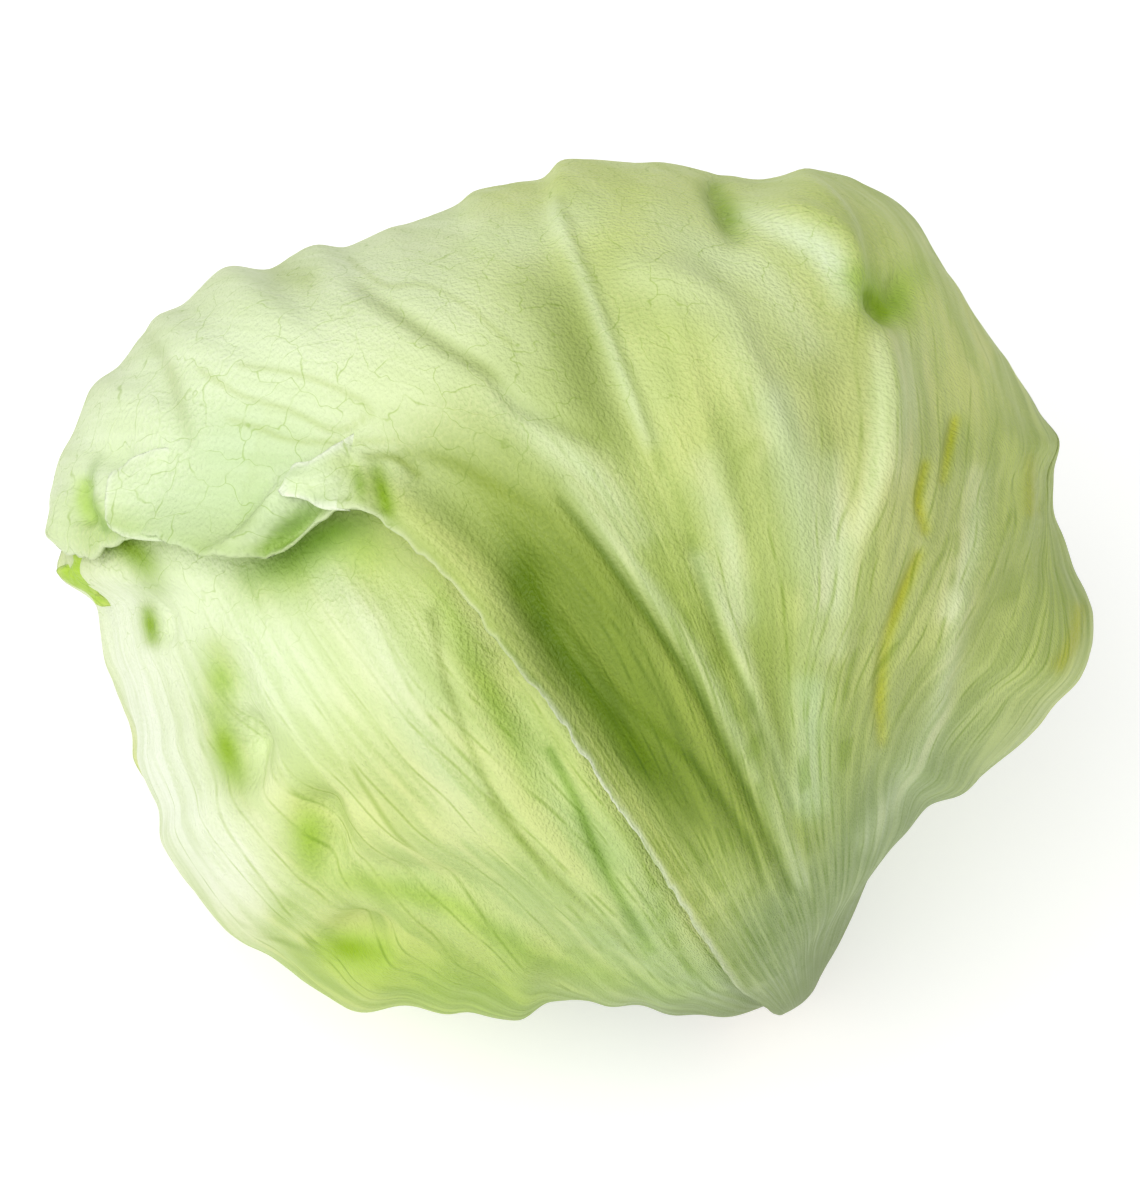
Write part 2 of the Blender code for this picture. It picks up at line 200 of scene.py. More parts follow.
def heights(places: Array, lines: tuple[Line, ...]) -> Array:
    """Adds up lines.

    Args:
        places: Where the sum is wanted, as complex numbers.
        lines: The lines, in the same plane.

    Returns:
        The sum of the lines' strengths at each place.
    """
    total = np.zeros(places.shape)
    for line in lines:
        total += line.spread(places)
    return total


def lines_of(*rows: tuple[float, tuple[Triple, ...]]) -> tuple[Line, ...]:
    """Lines from rows of a half width and points."""
    return tuple(Line(width, points) for width, points in rows)


@dataclass(frozen=True)
class HeadForm:
    """The head's shape face on, in millimetres and degrees."""

    face_elevation: float = 50.0
    eye_distance: float = 1100.0
    centre_height: float = 70.0
    stem_bearing: float = -62.0
    stem_turned_away: float = 10.0
    outline: tuple[tuple[float, float], ...] = (
        (-175, 84.0), (-165, 83.0), (-155, 85.0), (-145, 88.0), (-135, 88.0), (-128, 85.6), (-122, 86.2),
        (-117, 86.4), (-110, 80.6), (-100, 78.4), (-90, 74.4), (-82, 77.0), (-75, 81.0), (-68, 84.0),
        (-61, 84.0), (-55, 79.5), (-50, 76.5), (-45, 74.2), (-40, 71.5), (-33, 72.5), (-25, 77.5),
        (-20, 81.0), (-15, 84.8), (-8, 90.2), (-2, 89.8), (5, 88.2), (11, 85.0), (20, 88.2), (27, 87.2),
        (33, 86.2), (40, 87.1), (48, 88.5), (55, 87.0), (60, 84.0), (66, 77.2), (75, 77.0), (85, 76.0),
        (100, 72.4), (110, 70.3), (120, 71.4), (130, 75.6), (140, 83.2), (150, 87.2), (160, 90.5),
        (168, 92.8), (175, 93.0),
    )
    sharp_blur: float = 4.0
    soft_blur: float = 32.0
    edge_start: float = 0.62
    edge_end: float = 0.97
    front_depth: float = 79.0
    back_depth: float = 74.0
    neck_depth: float = 0.05
    neck_angle: float = 24.0
    neck_width: float = 13.0
    fold_fades: tuple[float, float] = (-12.0, 16.0)
    folds: tuple[Line, ...] = lines_of(
        (7.0, (
            (-42, 26, 0), (-27, 21, -1.4), (-16, 11, -3.4), (-8, -2, -5.6), (0, -16, -5.5), (13, -34, -4),
            (31, -55, -1),
        )),
        (14.0, ((-71, 34, 2), (-55, 42, 3.5), (-30, 42, 3), (-9, 30, 2))),
        (6.0, ((-2, 60, -1), (5, 44, -2), (11, 28, -2), (19, 12, -1.6), (30, -9, -0.6))),
        (5.0, ((12, 58, 0.6), (19, 53, 1.8), (26, 44, 1.6), (35, 28, 1.4), (41, 5, 1.2), (46, -19, 1))),
        (5.0, ((30, 71, 1), (39, 67, 2.2), (46, 60, 2.6), (49, 53, 2))),
        (4.6, ((54, 59, -1.6), (56, 51, -3))),
        (4.5, ((49, 51, 1), (53, 42, 3), (55, 30, 3), (55, 16, 2), (53, -2, 1))),
        (6.0, ((76, 5, -2), (69, -16, -3), (58, -37, -1.5))),
        (4.5, ((85, 25, 3), (78, 12, 2.5), (71, -5, 2), (62, -30, 1))),
        (5.5, ((91, -5, 3), (83, -16, 2.5), (72, -30, 1.5), (58, -48, 1))),
        (6.5, (
            (-40, 0, 0.6), (-30, -16, 1.2), (-21, -29, 1.5), (-5, -47, 1.5), (12, -61, 1.2),
            (26, -68, 0.6),
        )),
        (4.5, ((-20, -2, -2), (-14, -13, -4), (-8, -25, -4), (-2, -37, -2.5), (5, -48, -1.5))),
        (5.0, ((-63, -16, -1.5), (-62, -21, -2.5), (-60, -29, -4.5))),
        (4.5, ((-46, -41, -3.5), (-44, -46, -3))),
        (4.5, ((-40, -64, -4), (-36, -65, -3))),
        (6.0, ((-42, -51, -1), (-30, -53, -3), (-18, -56, -3.5), (-2, -65, -2.5), (12, -71, -1))),
        (8.0, ((-55, 5, -2), (-42, 5, -4), (-34, 3, -4.5), (-25, -2, -3))),
    )
    pleats: float = 11.0
    pleat_twist: float = 2.6
    pleat_share: float = 3.0
    pleat_height: float = 1.6
    pleat_fades: tuple[float, float, float, float] = (12.0, 45.0, 110.0, 170.0)
    bump_height: float = 2.0
    bump_fade: float = 1.2
    bump_pitch: float = 0.032
    stem_radius: float = 12.5
    stem_top_radius: float = 10.5
    stem_end: float = 79.5
    stem_top: float = 46.0
    clearance: float = 0.4
    foot_blade: float = 1.4
    least_down: float = 0.05

    @cached_property
    def axes(self) -> Array:
        """The head's own axes, face on.

        Returns:
            The stem's axis, then the directions towards the eye and towards the right square to it.
        """
        bearing = math.radians(self.stem_bearing)
        away = math.radians(self.stem_turned_away)
        flat = math.cos(away)
        stem = np.array([math.cos(bearing) * flat, math.sin(bearing) * flat, -math.sin(away)])
        front = unit(np.array([0.0, 0.0, 1.0]) - stem[2] * stem)
        return np.array([stem, front, np.cross(front, stem)])

    @cached_property
    def face_to_world(self) -> Array:
        """The turn from face-on axes to the table's."""
        tilt = math.radians(self.face_elevation)
        return np.array(
            [[1.0, 0.0, 0.0], [0.0, math.sin(tilt), -math.cos(tilt)], [0.0, math.cos(tilt), math.sin(tilt)]]
        )

    def to_world(self, points: Array) -> Array:
        """Face-on points in millimetres, as points above the table in metres."""
        return (points @ self.face_to_world.T + np.array([0.0, 0.0, self.centre_height])) * MM

    def seen(self, points: Array) -> Array:
        """Where the eye sees face-on points, as complex places on the plane through the head's middle."""
        places = points[..., 0] + 1j * points[..., 1]
        return places * self.eye_distance / (self.eye_distance - points[..., 2])

    def direction_at(self, place: Array) -> Array:
        """Turns places on the round map into directions.

        Args:
            place: Complex places on the map.

        Returns:
            Face-on unit vectors.
        """
        from_stem = np.radians(180.0 - np.abs(place))
        turn = np.angle(place)
        stem, front, right = self.axes
        return (
            np.cos(from_stem)[..., None] * stem
            + (np.sin(from_stem) * np.cos(turn))[..., None] * front
            + (np.sin(from_stem) * np.sin(turn))[..., None] * right
        )

    def from_stem(self, direction: Array) -> Array:
        """Degrees between each direction and the stem's axis."""
        return np.degrees(np.arccos(np.clip(direction @ self.axes[0], -1.0, 1.0)))

    def outline_radius(self, angle: Array, blur: float) -> Array:
        """The outline's radius at an angle, as a mean of its points weighted by how near they are.

        Args:
            angle: Face-on angles in radians.
            blur: The reach of each outline point, in degrees.

        Returns:
            The radius at each angle.
        """
        angles, radii = np.array(self.outline).T
        angles = np.radians(angles)
        spacing = (np.roll(angles, -1) - np.roll(angles, 1)) % (2.0 * math.pi)
        apart = (np.asarray(angle)[..., None] - angles + math.pi) % (2.0 * math.pi) - math.pi
        weights = np.exp(-((apart / math.radians(blur)) ** 2)) * spacing
        return (weights * radii).sum(-1) / weights.sum(-1)

    def neck(self, direction: Array) -> Array:
        """How far the head draws in towards its stem, as a factor on its radius."""
        from_neck = (self.from_stem(direction) - self.neck_angle) / self.neck_width
        return 1.0 - self.neck_depth * np.exp(-(from_neck**2))

    def skin_radius(self, direction: Array) -> Array:
        """The skin's radius without its folds.

        Args:
            direction: Face-on unit vectors.

        Returns:
            The radius in each direction.
        """
        across = np.hypot(direction[..., 0], direction[..., 1])
        angle = np.arctan2(direction[..., 1], direction[..., 0])
        edge = self.neck(np.stack([np.cos(angle), np.sin(angle), np.zeros_like(angle)], axis=-1))
        sharp = self.outline_radius(angle, self.sharp_blur) / edge
        soft = self.outline_radius(angle, self.soft_blur) / edge
        wide = soft + (sharp - soft) * smoothstep(self.edge_start, self.edge_end, across)
        deep = np.where(direction[..., 2] > 0.0, self.front_depth, self.back_depth)
        return self.neck(direction) / np.sqrt((across / wide) ** 2 + (direction[..., 2] / deep) ** 2)

    def front_share(self, skin: Array) -> Array:
        """1 on the side seen face on and 0 on the far side."""
        return smoothstep(*self.fold_fades, skin[..., 2])

    def radius(self, direction: Array, folds: tuple[Line, ...] = ()) -> Array:
        """The skin's radius with its folds.

        Args:
            direction: Face-on unit vectors.
            folds: Further folds, drawn face on, besides the head's own.

        Returns:
            The radius in each direction.
        """
        radius = self.skin_radius(direction)
        skin = direction * radius[..., None]
        front = self.front_share(skin)
        height = heights(self.seen(skin), self.folds + folds) * front
        from_stem = self.from_stem(direction)
        turn = np.arctan2(direction @ self.axes[2], direction @ self.axes[1])
        pleats = np.sin(self.pleats * turn + self.pleat_twist * np.radians(from_stem))
        pleats = pleats * np.sin(self.pleat_share * turn)
        start, full, fading, end = self.pleat_fades
        pleats = pleats * smoothstep(start, full, from_stem) * smoothstep(end, fading, from_stem)
        rough = crumple(skin * self.bump_pitch, 0.0)
        height = height + (1.0 - front) * self.pleat_height * pleats
        return radius + height + self.bump_height * rough * (self.bump_fade - front)

    def cut_by_table(self, direction: Array, radius: Array, height: float) -> Array:
        """Cuts the head off flat where it rests on the table.

        Args:
            direction: Face-on unit vectors.
            radius: The radius in each direction.
            height: How far down the table is from the head's middle.

        Returns:
            The radii, none of them reaching below the table.
        """
        down = -(direction @ self.face_to_world.T)[..., 2]
        reach = np.where(down > self.least_down, height / np.maximum(down, self.least_down), np.inf)
        return np.minimum(radius, reach)


@dataclass(frozen=True)
class Stroke:
    """A stroke of colour drawn face on."""

    tone: Tone
    line: Line


def strokes_of(*rows: tuple[Tone, float, tuple[Triple, ...]]) -> tuple[Stroke, ...]:
    """Strokes from rows of a tone, a half width and points."""
    return tuple(Stroke(tone, Line(width, points)) for tone, width, points in rows)


class Shader:
    """A material's node tree, built a node at a time."""

    specular = 0.22

    def __init__(self, name: str, roughness: float) -> None:
        """Starts a material.

        Args:
            name: The material's name.
            roughness: How dull its shine is.
        """
        self.material = bpy.data.materials.new(name)
        self.material.use_nodes = True
        self.tree = self.material.node_tree
        self.surface = self.tree.nodes["Principled BSDF"]
        self.surface.inputs["Roughness"].default_value = roughness
        self.surface.inputs["Specular IOR Level"].default_value = self.specular

    def node(self, kind: str, inputs: dict, output: str | int = 0, **settings: object) -> Socket:
        """Adds a node.

        Args:
            kind: The node's type.
            inputs: For each input's name or number, a value or the output that feeds it.
            output: The output that is wanted.
            settings: The node's own settings.

        Returns:
            That output.
        """
        made = self.tree.nodes.new(kind)
        for name, value in settings.items():
            setattr(made, name, value)
        for name, value in inputs.items():
            if isinstance(value, bpy.types.NodeSocket):
                self.tree.links.new(value, made.inputs[name])
            else:
                made.inputs[name].default_value = value
        return made.outputs[output]

    def attribute(self, name: str, output: str) -> Socket:
        """An attribute of the mesh, read as a Color, Vector or Fac."""
        return self.node("ShaderNodeAttribute", {}, output, attribute_name=name)

    def place(self) -> Socket:
        """The place on the object, in millimetres."""
        coordinates = self.node("ShaderNodeTexCoord", {}, "Object")
        return self.node("ShaderNodeVectorMath", {0: coordinates, 3: 1.0 / MM}, operation="SCALE")

    def scaled(self, vector: Socket, scale: Triple) -> Socket:
        """The vector times a scale for each axis."""
        return self.node("ShaderNodeVectorMath", {0: vector, 1: scale}, operation="MULTIPLY")

    def shifted(self, vector: Socket, shift: Socket, scale: Triple) -> Socket:
        """The vector and a shift, which is scaled for each axis."""
        return self.node("ShaderNodeVectorMath", {0: shift, 1: scale, 2: vector}, operation="MULTIPLY_ADD")

    def add(self, first: Socket, second: float | Socket) -> Socket:
        """The sum of two numbers."""
        return self.node("ShaderNodeMath", {0: first, 1: second}, operation="ADD")

    def times(self, first: Socket, second: float | Socket) -> Socket:
        """The product of two numbers."""
        return self.node("ShaderNodeMath", {0: first, 1: second}, operation="MULTIPLY")

    def larger(self, first: Socket, second: Socket) -> Socket:
        """The larger of two numbers."""
        return self.node("ShaderNodeMath", {0: first, 1: second}, operation="MAXIMUM")

    def noise(self, vector: Socket, scale: float, detail: float, output: str = "Fac") -> Socket:
        """Soft noise flat on a map, from 0 to 1, as a Fac or as a Color."""
        inputs = {"Vector": vector, "Scale": scale, "Detail": detail}
        return self.node("ShaderNodeTexNoise", inputs, output, noise_dimensions="2D")

    def crevices(self, vector: Socket) -> Socket:
        """The distance on a map to the nearest border between irregular cells, in cells."""
        settings = {"feature": "DISTANCE_TO_EDGE", "voronoi_dimensions": "2D"}
        return self.node("ShaderNodeTexVoronoi", {"Vector": vector, "Scale": 1.0}, "Distance", **settings)

    def turned(self, vector: Socket, degrees: float) -> Socket:
        """The vector turned on its map."""
        inputs = {"Vector": vector, "Rotation": (0.0, 0.0, math.radians(degrees))}
        return self.node("ShaderNodeMapping", inputs)

    def ramp(
        self, value: Socket, low: float, high: float, to_low: float = 0.0, to_high: float = 1.0
    ) -> Socket:
        """Maps low to high onto another range, smoothly and held at its ends."""
        inputs = {"Value": value, "From Min": low, "From Max": high, "To Min": to_low, "To Max": to_high}
        return self.node("ShaderNodeMapRange", inputs, interpolation_type="SMOOTHSTEP")

    def mix(self, share: float | Socket, first: object, second: object, blend: str = "MIX") -> Socket:
        """Two colours mixed by a share, as the blend's name says."""
        inputs = {0: share, 6: first, 7: second}
        return self.node("ShaderNodeMix", inputs, 2, data_type="RGBA", blend_type=blend)

    def bump(self, height: Socket, distance: float) -> Socket:
        """A bump of this height in millimetres."""
        return self.node("ShaderNodeBump", {"Height": height, "Distance": distance * MM})

    def finish(self, colour: Socket, normal: Socket, roughness: Socket | None = None) -> bpy.types.Material:
        """Joins the colour, the normal and any roughness to the surface.

        Args:
            colour: The output that gives the base colour.
            normal: The output that gives the normal.
            roughness: The output that gives the roughness, where it varies.

        Returns:
            The finished material.
        """
        self.tree.links.new(colour, self.surface.inputs["Base Color"])
        self.tree.links.new(normal, self.surface.inputs["Normal"])
        if roughness is not None:
            self.tree.links.new(roughness, self.surface.inputs["Roughness"])
        return self.material


@dataclass(frozen=True)
class LeafFinish:
    """The finish of a leaf: painted colour, branching ribs, a net of fine veins, streaks, and painted
    highlights on its fine crinkle.

    A pitch is how many waves of a noise go into a millimetre, or into a rib's width and a millimetre along
    it. A reach is the low and the high end of a soft step. Where four numbers stand together, the last two
    are what the step leads from and to.
    """

    name: str
    roughness: float = 0.5
    roughness_swing: float = 0.07
    sway_pitch: float = 0.13
    sway: float = 8.0
    net_turn: float = -37.0
    net_cell: tuple[float, float] = (9.0, 5.5)
    net_line: float = 0.028
    net_dark: float = 0.55
    net_taper_pitch: float = 0.2
    net_taper: tuple[float, float, float, float] = (0.35, 0.6, 0.35, 1.0)
    lean_pitch: float = 0.035
    lean: float = 0.6
    rib_reach: float = 95.0
    rib_line: float = 0.42
    rib_dark: float = 0.6
    rib_pale: float = 0.3
    rib_patch_pitch: float = 0.16
    rib_patch: tuple[float, float, float, float] = (0.35, 0.65, 0.25, 1.0)
    streak_pitch: tuple[float, float] = (2.2, 0.022)
    streak: tuple[float, float, float, float] = (0.35, 0.65, 0.0, 0.3)
    streak_at_tip: float = 0.3
    bloom_pitch: tuple[float, float] = (1.3, 0.045)
    bloom: tuple[float, float, float, float] = (0.45, 0.68, 0.0, 0.75)
    # Painted highlights: bright speckles where light catches the leaf's fine crinkle.
    glint_cell: float = 0.8
    glint_reach: tuple[float, float] = (0.36, 0.76)
    glint: float = 0.42
    deep: Triple = (0.5, 0.62, 0.2)
    pale: Triple = (0.63, 0.61, 0.61)
    streak_relief: float = 0.25
    speckle_relief: float = 0.8
    relief: float = 0.36
    dull_reach: tuple[float, float] = (0.2, 0.8)

    def net(self, shader: Shader, chart: Socket) -> Socket:
        """Draws the net of fine veins as the borders of irregular cells.

        Args:
            shader: The material's nodes.
            chart: The place on the leaf's flat chart, in millimetres.

        Returns:
            1 on a vein and 0 between the veins, less where the net thins out.
        """
        half = (0.5, 0.5, 0.5)
        sway = shader.noise(chart, self.sway_pitch, 2.0, "Color")
        sway = shader.node("ShaderNodeVectorMath", {0: sway, 1: half}, operation="SUBTRACT")
        swayed = shader.turned(shader.shifted(chart, sway, (self.sway, self.sway, 0.0)), self.net_turn)
        long_cell, short_cell = self.net_cell
        cells = shader.scaled(swayed, (1.0 / long_cell, 1.0 / short_cell, 0.0))
        net = shader.ramp(shader.crevices(cells), 0.0, self.net_line, 1.0, 0.0)
        taper = shader.ramp(shader.noise(chart, self.net_taper_pitch, 1.0), *self.net_taper)
        return shader.times(net, taper)

    def ribs(self, shader: Shader, grain: Socket, chart: Socket, share: Socket) -> tuple[Socket, Socket]:
        """Draws the ribs as the borders of cells that are long along the leaf, so that they fork finely.

        Args:
            shader: The material's nodes.
            grain: Ribs across, millimetres along and millimetres a rib.
            chart: The place on the leaf's flat chart, in millimetres.
            share: How far the ribs show.

        Returns:
            The ribs' dark cores and their pale flanks, each from 0 to 1.
        """
        lean = shader.noise(chart, self.lean_pitch, 1.0, "Color")
        bent = shader.shifted(grain, lean, (self.lean, 0.0, 0.0))
        width = shader.node("ShaderNodeSeparateXYZ", {0: grain}, "Z")
        rib = shader.times(shader.crevices(shader.scaled(bent, (1.0, 1.0 / self.rib_reach, 0.0))), width)
        patch = shader.ramp(shader.noise(bent, self.rib_patch_pitch, 1.0), *self.rib_patch)
        share = shader.times(share, patch)
        core = shader.ramp(rib, 0.0, self.rib_line, 1.0, 0.0)
        flank = shader.ramp(rib, self.rib_line, 3.0 * self.rib_line, 1.0, 0.0)
        return shader.times(core, share), shader.times(flank, share)

    def build(self) -> bpy.types.Material:
        """Builds the material, which reads the mesh's tint, grain, chart and marks.

        Returns:
            The material.
        """
        shader = Shader(self.name, self.roughness)
        tint = shader.attribute("tint", "Color")
        grain = shader.attribute("grain", "Vector")
        chart = shader.attribute("chart", "Vector")
        marks = shader.node("ShaderNodeSeparateColor", {0: shader.attribute("marks", "Color")}, "Red")
        net_share, rib_share, glint_share = marks.node.outputs[:3]
        core, flank = self.ribs(shader, grain, chart, rib_share)
        net = shader.times(self.net(shader, chart), net_share)
        streak = shader.noise(shader.scaled(grain, (*self.streak_pitch, 0.0)), 1.0, 2.0)
        bloom = shader.noise(shader.scaled(grain, (*self.bloom_pitch, 0.0)), 1.0, 2.0)
        speckle = shader.noise(chart, 1.0 / self.glint_cell, 1.0)
        streaks = shader.ramp(rib_share, 0.0, 1.0, self.streak_at_tip, 1.0)
        streaks = shader.times(shader.ramp(streak, *self.streak), streaks)
        bloom = shader.times(shader.ramp(bloom, *self.bloom), rib_share)
        # Painted highlights: where the third mark lets them, the fine speckle lightens the colour as glints
        # on the crinkle.
        glint = shader.times(shader.ramp(speckle, *self.glint_reach), glint_share)
        deep = shader.mix(1.0, tint, (*self.deep, 1.0), "MULTIPLY")
        pale = shader.mix(1.0, tint, (*self.pale, 1.0), "OVERLAY")
        colour = shader.mix(streaks, tint, deep)
        for share in (bloom, shader.times(flank, self.rib_pale), shader.times(glint, self.glint)):
            colour = shader.mix(share, colour, pale)
        lines = shader.larger(shader.times(core, self.rib_dark), shader.times(net, self.net_dark))
        colour = shader.mix(lines, colour, deep)
        relief = shader.add(
            shader.times(streak, self.streak_relief), shader.times(speckle, self.speckle_relief)
        )
        dull = (self.roughness - self.roughness_swing, self.roughness + self.roughness_swing)
        dull = shader.ramp(streak, *self.dull_reach, *dull)
        return shader.finish(colour, shader.bump(relief, self.relief), dull)


@dataclass(frozen=True)
class Tongue:
    """A lap of a leaf's edge, given by its two sides on the round map, each from root to tip."""

    lower: tuple[tuple[float, float], ...]
    upper: tuple[tuple[float, float], ...]
    rise: tuple[float, ...]
    edge_tone: Tone = Tone.FROST
    edge_strength: float = 0.8
    edge_width: float = 0.14
    body_tone: Tone = Tone.LIGHT
    body_strength: float = 0.0
    arch: float = 0.8
    crinkle: float = 0.45
    crinkle_pitch: tuple[float, float] = (3.84, 6.4)
    crinkle_seed: float = 31.0
    crinkle_at_edge: float = 1.4
    free_from: tuple[float, float] = (0.1, 0.5)
    grain_size: Triple = (5.0, 12.0, 1.6)
    columns: int = 44
    rows: int = 36

    def places(self, across: Array, along: Array) -> Array:
        """The map places of a grid.

        Args:
            across: Shares of the way from the lower to the upper side.
            along: Shares of the way from the root to the tip.

        Returns:
            Complex places, one row for each share across.
        """
        sides = []
        for edge in (self.lower, self.upper):
            places = np.array([complex(*place) for place in edge])
            sides.append(spline(np.linspace(0.0, 1.0, len(places)), places, along))
        return sides[0] + (sides[1] - sides[0]) * across[:, None]

    def lift(self, across: Array, along: Array) -> Array:
        """How far the lap stands off the leaf.

        Args:
            across: Shares of the way from the lower to the upper side.
            along: Shares of the way from the root to the tip.

        Returns:
            Millimetres, one row for each share across.
        """
        rise = spline(np.linspace(0.0, 1.0, len(self.rise)), self.rise, along)[None, :]
        middle = 1.0 - (2.0 * across[:, None] - 1.0) ** 2
        wide, far = self.crinkle_pitch
        rows = np.stack(np.broadcast_arrays(across[:, None] * wide, along[None, :] * far, 0.0), axis=-1)
        crinkle = crumple(rows, self.crinkle_seed) * (self.crinkle_at_edge - middle)
        free = smoothstep(*self.free_from, along)[None, :]
        return rise + free * (self.arch * middle + self.crinkle * crinkle)


@dataclass(frozen=True)
class LeafPlan:
    """How a leaf lies on the head and how it is coloured.

    A rib is the turn round the stem where it leaves it, and then the places it passes on the round map.
    Ribs run from one side edge of the leaf to the other. Lifts stand the leaf off the ones below it.
    """

    name: str
    slot: str
    ribs: tuple[tuple, ...]
    lifts: tuple[Line, ...]
    layers: float
    waves: float
    columns: int
    rows: int
    strokes: tuple[Stroke, ...] = ()
    folds: tuple[Line, ...] = ()
    tongues: tuple[Tongue, ...] = ()
    ground: Tone = Tone.LEAF
    teeth: float = 0.25
    rib_count: float = 26.0


@dataclass
class Leaf:
    """An outer leaf, laid on the head, crumpled, coloured and dressed."""

    head: HeadForm
    plan: LeafPlan
    finish: LeafFinish
    layer: float = 2.7
    blade: float = 0.75
    blade_at_foot: float = 1.4
    thick_foot_share: float = 0.3
    wave_reach: float = 0.09
    tip_waves: float = 8.0
    side_waves: float = 7.0
    side_waves_from: tuple[float, float] = (0.5, 0.7)
    tooth_pitch: float = 72.0
    tooth_reach: float = 0.012
    tooth_seeds: tuple[float, float] = (3.0, 5.0)
    tooth_rows: Triple = (0.0, -1.0, 7.0)
    fine_tooth: float = 0.6
    fine_tooth_pitch: float = 2.3
    mean_radius: float = 80.0
    relief_from: tuple[float, float] = (0.05, 0.3)
    pucker: float = 0.22
    pucker_sizes: tuple[float, float] = (7.0, 3.2)
    pucker_seeds: tuple[float, float] = (11.0, 13.0)
    fine_pucker: float = 0.5
    corrugation: float = 0.1
    ridge_pitch: Triple = (1.1, 1.0 / 70.0, 0.0)
    fine_ridge: float = 0.4
    fine_ridge_pitch: Triple = (2.1, 1.0 / 40.0, 0.0)
    ridge_seeds: tuple[float, float] = (17.0, 19.0)
    ridge_width: tuple[float, float] = (1.0, 3.5)
    ridge_reach: tuple[float, float] = (150.0, 90.0)
    patch_size: float = 30.0
    patch_seed: float = 23.0
    patch_reach: tuple[float, float] = (0.0, 0.5)
    light_patch: float = 0.6
    dark_patch: float = 0.35
    pale_foot: float = 0.2
    pale_foot_reach: tuple[float, float] = (75.0, 30.0)
    shaded_foot: float = 0.75
    shaded_foot_reach: tuple[float, float] = (52.0, 18.0)
    pale_edge: float = 0.75
    pale_edge_share: tuple[float, float] = (0.25, 0.4)
    pale_edge_rise: tuple[float, float] = (100.0, 80.0)
    pale_edge_reach: tuple[float, float] = (20.0, 60.0)
    paleness: float = 0.9
    net_reach: tuple[float, float] = (95.0, 125.0)
    rib_reach: tuple[float, float] = (130.0, 85.0)
    rib_foot: tuple[float, float] = (10.0, 30.0)
    # Where the painted highlights of the fine crinkle show: in patches, and less towards the stem.
    glint_size: float = 14.0
    glint_seed: float = 29.0
    glint_reach: tuple[float, float] = (-0.3, 0.35)
    glint_foot: tuple[float, float] = (18.0, 40.0)

    def places(self, across: Array, along: Array) -> Array:
        """The map places of a grid on the leaf.

        Args:
            across: Shares of the way from one side edge to the other.
            along: Shares of the way from the foot to the tip.

        Returns:
            Complex places, one row for each share across.
        """
        head = self.head
        below = self.plan.layers * self.layer
        foot_height = head.stem_end - below - head.foot_blade
        foot = 180.0 - math.degrees(math.asin((head.stem_radius + head.clearance) / foot_height))
        drawn = []
        for turn, *rib in self.plan.ribs:
            start = foot * np.exp(1j * math.radians(turn))
            places = np.array([start] + [complex(*place) for place in rib])
            lengths = np.concatenate([[0.0], np.cumsum(np.abs(np.diff(places)))])
            drawn.append(spline(lengths / lengths[-1], places, along))
        return spline(np.linspace(0.0, 1.0, len(drawn)), np.array(drawn), across)

    def teeth(self, shares: Array, row: float) -> Array:
        """Makes the teeth along one free edge.

        Args:
            shares: Shares of the way along the edge.
            row: Which row of the noise the edge reads.

        Returns:
            How far each place is moved, for teeth of one degree of the map.
        """
        points = np.stack([shares * self.tooth_pitch, shares * 0.0, shares * 0.0 + row], axis=-1)
        coarse, fine = self.tooth_seeds
        return crumple(points, coarse) + self.fine_tooth * crumple(points * self.fine_tooth_pitch, fine)

    def toothed(self, places: Array, across: Array, along: Array) -> Array:
        """Moves the free edges in and out as small uneven teeth.

        Args:
            places: The map places of a grid, one row for each share across.
            across: Shares of the way from one side edge to the other.
            along: Shares of the way from the foot to the tip.

        Returns:
            The places with their teeth.
        """
        shift = np.zeros(places.shape, complex)
        first, last, tip = self.tooth_rows
        for edge, inner, apart, row in (
            (places[0], places[1], across, first),
            (places[-1], places[-2], 1.0 - across, last),
        ):
            inwards = (inner - edge) / np.maximum(np.abs(inner - edge), TINY)
            fade = np.exp(-((apart[:, None] / self.tooth_reach) ** 2))
            shift += fade * (inwards * self.teeth(along, row))[None, :]
        inwards = places[:, -2] - places[:, -1]
        inwards = inwards / np.maximum(np.abs(inwards), TINY)
        fade = np.exp(-(((1.0 - along) / self.tooth_reach) ** 2))
        shift += fade[None, :] * (inwards * self.teeth(across, tip))[:, None]
        return places + shift * self.plan.teeth

    def edge_waves(self, across: Array, along: Array) -> Array:
        """The waves of the tip and side edges.

        Args:
            across: Shares of the way from one side edge to the other.
            along: Shares of the way from the foot to the tip.

        Returns:
            Values from 0 to 1, one row for each share across.
        """
        across = across[:, None]
        along = along[None, :]
        tip = np.exp(-(((1.0 - along) / self.wave_reach) ** 2))
        side = np.exp(-((np.minimum(across, 1.0 - across) / self.wave_reach) ** 2))
        side = side * smoothstep(*self.side_waves_from, along) * (1.0 - tip)
        tip = tip * (0.5 + 0.5 * np.sin(2.0 * math.pi * self.tip_waves * across))
        return tip + side * (0.5 + 0.5 * np.sin(2.0 * math.pi * self.side_waves * along))

    def grain(self, places: Array, across: Array) -> Array:
        """Measures a grid along and across its ribs.

        Args:
            places: The map places of the grid.
            across: Shares of the way from one side edge to the other.

        Returns:
            Ribs across, millimetres along and millimetres a rib at each place.
        """
        point = self.head.direction_at(places) * self.mean_radius
        along = np.linalg.norm(np.diff(point, axis=1), axis=-1)
        along = np.concatenate([np.zeros((len(across), 1)), np.cumsum(along, axis=1)], axis=1)
        ribs = np.broadcast_to((across * self.plan.rib_count)[:, None], places.shape)
        step = np.linalg.norm(np.gradient(point, axis=0), axis=-1)
        width = step / np.gradient(across * self.plan.rib_count)[:, None]
        return np.stack([ribs, along, width], axis=-1)

